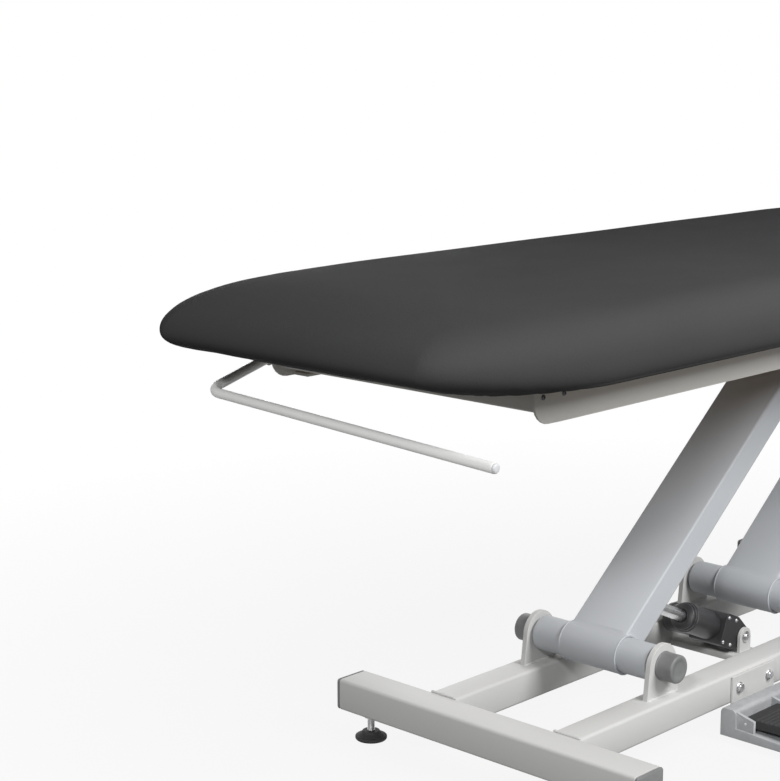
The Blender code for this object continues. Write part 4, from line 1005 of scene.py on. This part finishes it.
def bead(start, end, radius, side):
    """Weld bead along a straight line: a circle whose radius swells by a twelfth with every 3 mm of the
    run, and closes at both ends."""
    start = np.asarray(start, float)
    end = np.asarray(end, float)
    length = np.linalg.norm(end - start)
    share = np.linspace(0.0, 1.0, max(int(length / BEAD_STEP), BEAD_LEAST_STEPS))
    run = share * length
    swell = radius * (1.0 + np.sin(run * (FULL_TURN / RIPPLE_LENGTH)) * RIPPLE_SHARE)
    swell = swell * np.sqrt(np.clip(np.minimum(run, length - run) / radius, 0.0, 1.0))
    return carried(start + (end - start) * share[:, None], ring_section(swell, BEAD_SIDES), side), False


def level_beads(x, half_length, faces, z, radius):
    """Beads along the length at each face, on both sides of the middle plane."""
    beads = []
    for y in (side * face for side in BOTH for face in faces):
        beads.append(bead((x - half_length, y, z), (x + half_length, y, z), radius, UP))
    return beads


def upright_bead(x, y, foot, head, radius):
    """Bead straight up a corner."""
    return bead((x, y, foot), (x, y, head), radius, FAR)


def floor_welds():
    """Weld beads of the floor frame: along both sides of each ear's foot, round the ends of the long
    beams, and along the feet of the actuator's lugs."""
    top = high("foot_beam_roll")[2]
    grids = []
    for joint in ("lift", "rear_arm_turn"):
        grids += level_beads(pivot(joint)[0], EAR_HALF_LENGTH, EAR_FACES, top, FLOOR_BEAD)
    for side in BOTH:
        faces = [side * face for face in BEAM_FACES]
        for x in (-BEAM_END, BEAM_END):
            grids.append(bead((x, faces[0], top), (x, faces[1], top), FLOOR_BEAD, UP))
            for y in faces:
                grids.append(upright_bead(x, y, top - BEAM_BEAD_LOW, top - BEAM_BEAD_HIGH, FLOOR_BEAD))
    grids += level_beads(pivot("actuator_swing")[0], LUG_HALF_LENGTH, LUG_FACES, top - CARRIER_DROP, LUG_BEAD)
    several("floor_frame_welds", grids, FLOOR_FRAME, "base", sharp=WELD_SHARP)


def bed_welds():
    """Weld beads under the top: upright in the corners between cross members and rails, and along the feet
    of the hanging brackets."""
    grids = []
    top = high("rail_near")[2]
    z = low("rail_near")[2] + BEARER_RISE
    bearer_beads = [z + rise for rise in BEARER_BEAD_LOW], [top + rise for rise in BEARER_BEAD_HIGH]
    for node in ("end_cross_roll", "end_cross_head"):
        for x in (low(node)[0], high(node)[0]):
            for side in BOTH:
                y = side * (high(node)[1] + CROSS_GAP)
                grids.append(upright_bead(x, y, low(node)[2] + CROSS_EASE, top - CROSS_EASE, BED_BEAD))
    for node in ("bearer_front", "bearer_rear"):
        middle_x = middle(node)[0]
        for x in (middle_x - BEARER_HALF_WIDTH, middle_x + BEARER_HALF_WIDTH):
            for side in BOTH:
                y = side * high(node)[1]
                for foot, head in bearer_beads:
                    grids.append(upright_bead(x, y, foot, head, BED_BEAD))
        grids += level_beads(middle_x, BRACKET_HALF_LENGTH, BRACKET_FACES, z, BED_BEAD)
    several("bed_frame_welds", grids, FRAME, "bed", sharp=WELD_SHARP)


# Actuator fittings, as (radius, height, rounding) profiles along the actuator, its motor and its pin

COLLAR = ((0.0108, 0.1405, 0.0), (0.0200, 0.1405, 0.0), (0.0225, 0.1405, 0.0), (0.0225, 0.1450, 0.0015),
          (0.0175, 0.1470, 0.0010), (0.0150, 0.1478, 0.0008), (0.0112, 0.1478, 0.0004), (0.0108, 0.1405, 0.0))
TUBE_BAND = ((0.0238, 0.128, 0.0), (0.0252, 0.1285, 0.0006), (0.0252, 0.1335, 0.0006), (0.0238, 0.134, 0.0))
MOTOR_RING = ((0.0242, -0.012, 0.0), (0.0250, -0.0115, 0.0004), (0.0250, -0.0070, 0.0006),
              (0.0242, -0.0062, 0.0))
MOTOR_BOSS = ((0.0, 0.0, 0.0), (0.0085, 0.0, 0.0), (0.0080, 0.0022, 0.0008), (0.0, 0.0022, 0.0))
PIN_CLIP = ((0.0058, 0.0, 0.0), (0.0098, 0.0, 0.0002), (0.0098, 0.0010, 0.0002), (0.0058, 0.0010, 0.0))
PIN_CLIP_PLACE = 0.0396
PIN_CLIP_SIDES = 40
GEAR_SCREW = (0.0032, 0.0022, 0.0013)
GEAR_SCREWS_ALONG = (0.031, 0.054)
GEAR_SCREW_RISE = 0.021
MOTOR_ALONG = 0.045
FITTING_SHARP = 40.0


def make_actuator_fittings():
    """Seal and collar at the actuator's tube end, cover screws on its gear housing, motor end ring, and
    clips on its floor pin."""
    foot = pivot("actuator_swing")
    way = unit(JOINTS["actuator_stroke"]["axis"])
    rise = np.cross(way, FAR)
    rise = rise * np.sign(rise[2])
    collar = turned(eased(COLLAR), foot, way)
    band = turned(eased(TUBE_BAND), foot, way)
    several("actuator_collar", ((collar, False), (band, True)), BLACK, "actuator_body", sharp=FITTING_SHARP)
    cover = np.array((0.0, low("actuator_gear")[1] - foot[1], 0.0))
    heads = []
    for along in GEAR_SCREWS_ALONG:
        for side in BOTH:
            place = foot + way * along + rise * (side * GEAR_SCREW_RISE) + cover
            heads.append((aimed(button_head(*GEAR_SCREW), place, NEAR), False))
    several("gear_cover_screws", heads, STEEL, "actuator_body", sharp=SCREW_SHARP)
    motor_end = foot + way * MOTOR_ALONG
    motor_end[1] = high("actuator_motor")[1]
    ring = turned(eased(MOTOR_RING), motor_end, FAR)
    boss = turned(eased(MOTOR_BOSS), motor_end, FAR)
    several("motor_end_ring", ((ring, True), (boss, False)), BLACK, "actuator_body", sharp=FITTING_SHARP)
    clips = []
    for side in BOTH:
        place = (foot[0], side * PIN_CLIP_PLACE, foot[2])
        clips.append((turned(eased(PIN_CLIP), place, (0.0, side, 0.0), PIN_CLIP_SIDES), True))
    several("floor_pin_clips", clips, STEEL, "base", sharp=FITTING_SHARP)


# Control box and mains inlet

BOX_CORNER_POWER = 18.0
LID_STEPS = 241
LID_HEIGHT = 0.012
LID_SECTION = ((0.0006, -0.0010), (0.0006, 0.0010), (-0.0009, 0.0010), (-0.0009, -0.0010))
LID_SCREW = (0.0034, 0.0020, 0.0013)
LID_SCREW_INSET = 0.012
INLET_WELL = 0.0161
BLADE_LENGTH = 0.0125
BLADE_RADIUS = 0.0014
BLADE_PLACES = ((-0.0070, -0.0020), (0.0, 0.0025), (0.0070, -0.0020))
BLADE_STEPS = 24
BLADE_SIDES = 10


def rounded_bar(start, end, radius, side, steps, sides):
    """Round bar with domed ends between two places."""
    start = np.asarray(start, float)
    end = np.asarray(end, float)
    share = (1.0 - np.cos(np.linspace(0.0, pi, steps))) / 2
    length = np.linalg.norm(end - start)
    near = np.minimum(share, 1.0 - share) * length
    size = radius * np.sqrt(1.0 - np.clip(1.0 - near / radius, 0.0, 1.0) ** 2)
    return carried(start + (end - start) * share[:, None], ring_section(size, sides), side)


def make_box_fittings():
    """Lid rim round the control box, lid screws in its underside, and the three blades of the mains inlet."""
    bottom = low("control_box")[2]
    centre = middle("control_box")
    half = high("control_box") - centre
    angle = np.linspace(0.0, FULL_TURN, LID_STEPS)
    x = centre[0] + half[0] * squared(np.cos(angle), BOX_CORNER_POWER)
    y = centre[1] + half[1] * squared(np.sin(angle), BOX_CORNER_POWER)
    path = np.stack((x, y, np.full(LID_STEPS, bottom + LID_HEIGHT)), axis=-1)
    surface("box_lid_rim", carried(path, LID_SECTION, UP), BLACK, "bed", sharp=SCREW_SHARP)
    heads = []
    for along in BOTH:
        for across in BOTH:
            x = centre[0] + along * (half[0] - LID_SCREW_INSET)
            y = centre[1] + across * (half[1] - LID_SCREW_INSET)
            heads.append((aimed(button_head(*LID_SCREW), (x, y, bottom), DOWN), False))
    several("box_lid_screws", heads, STEEL, "bed", sharp=SCREW_SHARP)
    inlet = middle("mains_inlet")
    well = low("mains_inlet")[0] + INLET_WELL
    blades = []
    for across, rise in BLADE_PLACES:
        place = np.array((well, inlet[1] + across, inlet[2] + rise))
        end = place - np.array((BLADE_LENGTH, 0.0, 0.0))
        blades.append((rounded_bar(place, end, BLADE_RADIUS, UP, BLADE_STEPS, BLADE_SIDES), False))
    several("mains_blades", blades, STEEL, "bed")


# Bolts of the foot switch and staples of the cover

BOLT_FLAT = 0.0065
BOLT_CORNER = 0.0074
BOLT_FACE = 0.0062
BOLT_SIDE_TALL = 0.0042
BOLT_TALL = 0.0050
BOLT_SIDES = 48
BOLT_WASHER_TALL = 0.0012
BOLT_WASHER = ((0.0, 0.0, 0.0), (0.0088, 0.0, 0.0), (0.0088, BOLT_WASHER_TALL, 0.0003),
               (0.0, BOLT_WASHER_TALL, 0.0))
BOLT_HEIGHT = 0.070
BOLT_HALF_SPACING = 0.042
BRACKET_FACE = 0.0043
STAPLE_SPACING = 0.028
STAPLE_HALF_LENGTH = 0.005
STAPLE_RADIUS = 0.0005
STAPLE_STEPS = 8
STAPLE_SIDES = 6
STAPLE_LOOK_AHEAD = 0.002


def make_bracket_bolts():
    """Hexagon bolts with washers that hold the foot switch's bracket to the floor beam."""
    face = low("base_beam_near")[1] - BRACKET_FACE
    centre = middle("switch_bracket")[0]
    angle = turn_angles(BOLT_SIDES)
    flat = np.minimum(hexagon(BOLT_FLAT, angle), BOLT_CORNER)
    crown = np.minimum(flat, BOLT_FACE)
    levels = ((0.0, 0.0), (flat, 0.0), (flat, BOLT_SIDE_TALL), (crown, BOLT_TALL), (0.0, BOLT_TALL))
    head = stacked(levels, angle) + (0.0, 0.0, BOLT_WASHER_TALL)
    washer = turned(eased(BOLT_WASHER), ORIGIN, UP, WASHER_SIDES)
    grids = []
    for side in BOTH:
        place = (centre + side * BOLT_HALF_SPACING, face, BOLT_HEIGHT)
        for shape in (head, washer):
            grids.append((aimed(shape, place, NEAR), False))
    several("bracket_bolts", grids, STEEL, "base", sharp=NUT_SHARP)


def make_cover_staples():
    """Staples that hold the cover under the lip: one bar repeated every 28 mm along the lip's outline and
    turned along it."""
    lip_middle = LIP_WIDTH / 2
    end_inset = np.array([UNDERCUT_END + lip_middle])
    side_inset = np.array([UNDERCUT_SIDE + lip_middle])
    x, y = cushion_outline(end_inset, side_inset, np.ones(1), np.array([CORNER_POWER]))
    line = np.stack((np.append(x[0], x[0, :1]), np.append(y[0], y[0, :1])), axis=-1)
    run = np.concatenate(([0.0], np.cumsum(np.linalg.norm(np.diff(line, axis=0), axis=-1))))
    count = int(run[-1] / STAPLE_SPACING)
    bar = rounded_bar((-STAPLE_HALF_LENGTH, 0.0, 0.0), (STAPLE_HALF_LENGTH, 0.0, 0.0), STAPLE_RADIUS, UP,
                      STAPLE_STEPS, STAPLE_SIDES)
    staples = []
    for at in (np.arange(count) + 0.5) * (run[-1] / count):
        place = np.array([np.interp(at, run, line[:, axis]) for axis in range(2)])
        ahead = np.array([np.interp(at + STAPLE_LOOK_AHEAD, run, line[:, axis]) for axis in range(2)])
        way = unit(ahead - place)
        turn = np.array(((way[0], -way[1], 0.0), (way[1], way[0], 0.0), UP))
        staples.append((bar @ turn.T + (place[0], place[1], low("main_pad")[2]), False))
    several("cover_staples", staples, STEEL, "bed")


# Camera, light and stage

CAMERA_TURN = radians(-46.35)
CAMERA_RISE = radians(11.0)
CAMERA_PLACE = (-2.5858, -1.7284, 1.1066)
FOCAL_PIXELS = 1900.0
PICTURE_PIXELS = 781.0
SENSOR_HEIGHT = 36.0
CLIP_END = 200.0
WHITE = (1.0, 1.0, 1.0, 1.0)
ROOM_LIGHT = 0.17
FLOOR_REACH = 60.0
FLOOR_COLOUR = (0.24, 0.24, 0.238, 1.0)
FLOOR_ROUGH = 0.9
FLOOR_SPECULAR = 0.1
SHADOW_BAND = (0.6, 2.0)
GLOW_SHARE = (0.90, 1.0)


def aim_camera():
    """Camera at the photograph's angle: 46.35 degrees round from the long side towards the paper-roll end,
    and 11 degrees up."""
    level = cos(CAMERA_RISE)
    back = Vector((sin(CAMERA_TURN) * level, -cos(CAMERA_TURN) * level, sin(CAMERA_RISE)))
    right = Vector((cos(CAMERA_TURN), sin(CAMERA_TURN), 0.0))
    above = back.cross(right)
    data = bpy.data.cameras.new("photo_camera")
    data.sensor_fit = "VERTICAL"
    data.sensor_height = SENSOR_HEIGHT
    data.lens = FOCAL_PIXELS * SENSOR_HEIGHT / PICTURE_PIXELS
    data.clip_end = CLIP_END
    made = bpy.data.objects.new("photo_camera", data)
    turn = Matrix((right, above, back)).transposed().to_4x4()
    made.matrix_world = Matrix.Translation(CAMERA_PLACE) @ turn
    bpy.context.scene.collection.objects.link(made)
    bpy.context.scene.camera = made


def lamp(name, place, target, width, height, power):
    """Soft rectangular lamp that faces a point."""
    data = bpy.data.lights.new(name, "AREA")
    data.shape = "RECTANGLE"
    data.size = width
    data.size_y = height
    data.energy = power
    made = bpy.data.objects.new(name, data)
    made.location = place
    made.rotation_euler = (Vector(place) - Vector(target)).to_track_quat("Z", "Y").to_euler()
    made.visible_camera = False
    bpy.context.scene.collection.objects.link(made)


def set_lights():
    """Soft key lamp over the near side, one at the paper-roll end, a wide one overhead and a low one from
    behind."""
    lamp("key", place=(-0.10, -1.64, 1.64), target=(-0.05, -0.25, 0.60), width=1.0, height=0.8, power=44.0)
    lamp("end", place=(-2.50, -1.00, 1.74), target=(-0.8, 0.0, 0.6), width=0.5, height=0.25, power=33.0)
    lamp("room", place=(0.0, -0.4, 3.6), target=(0.0, -0.1, 0.0), width=4.0, height=3.4, power=4.0)
    lamp("back", place=(1.6, 2.9, 1.00), target=(0.0, 0.2, 0.5), width=1.6, height=0.9, power=24.0)


def seen_directly(tree):
    """One where the ray comes straight from the camera, or by a mirror or through glass, and nought
    elsewhere."""
    path = add(tree, "ShaderNodeLightPath")
    mirrored = reckon(tree, "MAXIMUM", path.outputs["Is Camera Ray"], path.outputs["Is Glossy Ray"])
    return reckon(tree, "MAXIMUM", mirrored, path.outputs["Is Transmission Ray"])


def floor_look():
    """Pale floor that looks white from afar, keeps a soft shadow near the table, and is clear from below."""
    look = bpy.data.materials.new("pale_floor")
    look.use_nodes = True
    look.cycles.emission_sampling = "NONE"
    tree = look.node_tree
    shader = tree.nodes["Principled BSDF"]
    shader.inputs["Base Color"].default_value = FLOOR_COLOUR
    shader.inputs["Roughness"].default_value = FLOOR_ROUGH
    shader.inputs["Specular IOR Level"].default_value = FLOOR_SPECULAR
    glow = add(tree, "ShaderNodeEmission", {"Color": WHITE, "Strength": 1.0})
    away = add(tree, "ShaderNodeVectorMath", {0: place_on(tree)}, operation="LENGTH").outputs["Value"]
    share = reckon(tree, "MULTIPLY", seen_directly(tree), spread(tree, away, SHADOW_BAND, GLOW_SHARE))
    mixed = add(tree, "ShaderNodeMixShader", {0: share, 1: shader.outputs[0], 2: glow.outputs[0]})
    under = add(tree, "ShaderNodeNewGeometry").outputs["Backfacing"]
    clear = add(tree, "ShaderNodeBsdfTransparent")
    whole = add(tree, "ShaderNodeMixShader", {0: under, 1: mixed.outputs[0], 2: clear.outputs[0]})
    tree.links.new(whole.outputs[0], tree.nodes["Material Output"].inputs["Surface"])
    return look


def set_stage():
    """White background, and a wide floor."""
    world = bpy.data.worlds.new("studio")
    world.use_nodes = True
    tree = world.node_tree
    plain = tree.nodes["Background"]
    plain.inputs["Color"].default_value = WHITE
    tree.links.new(spread(tree, seen_directly(tree), WHOLE, (ROOM_LIGHT, 1.0)), plain.inputs["Strength"])
    bpy.context.scene.world = world
    mesh = bpy.data.meshes.new("floor")
    corners = [(FLOOR_REACH * x, FLOOR_REACH * y, 0.0) for x, y in ((-1, -1), (1, -1), (1, 1), (-1, 1))]
    mesh.from_pydata(corners, [], [(0, 1, 2, 3)])
    mesh.materials.append(floor_look())
    floor = bpy.data.objects.new("floor", mesh)
    bpy.context.scene.collection.objects.link(floor)


aim_camera()
set_stage()
set_lights()
make_cushion()
dress_solids()
make_roll_bar()
make_pivot_caps()
make_rail_screws()
make_levelling_feet()
make_clamp_knob()
arm_welds("lift", "front_arm")
arm_welds("rear_arm_turn", "rear_arm")
floor_welds()
bed_welds()
make_actuator_fittings()
make_box_fittings()
make_bracket_bolts()
make_cover_staples()
bpy.context.scene.view_settings.view_transform = "Standard"
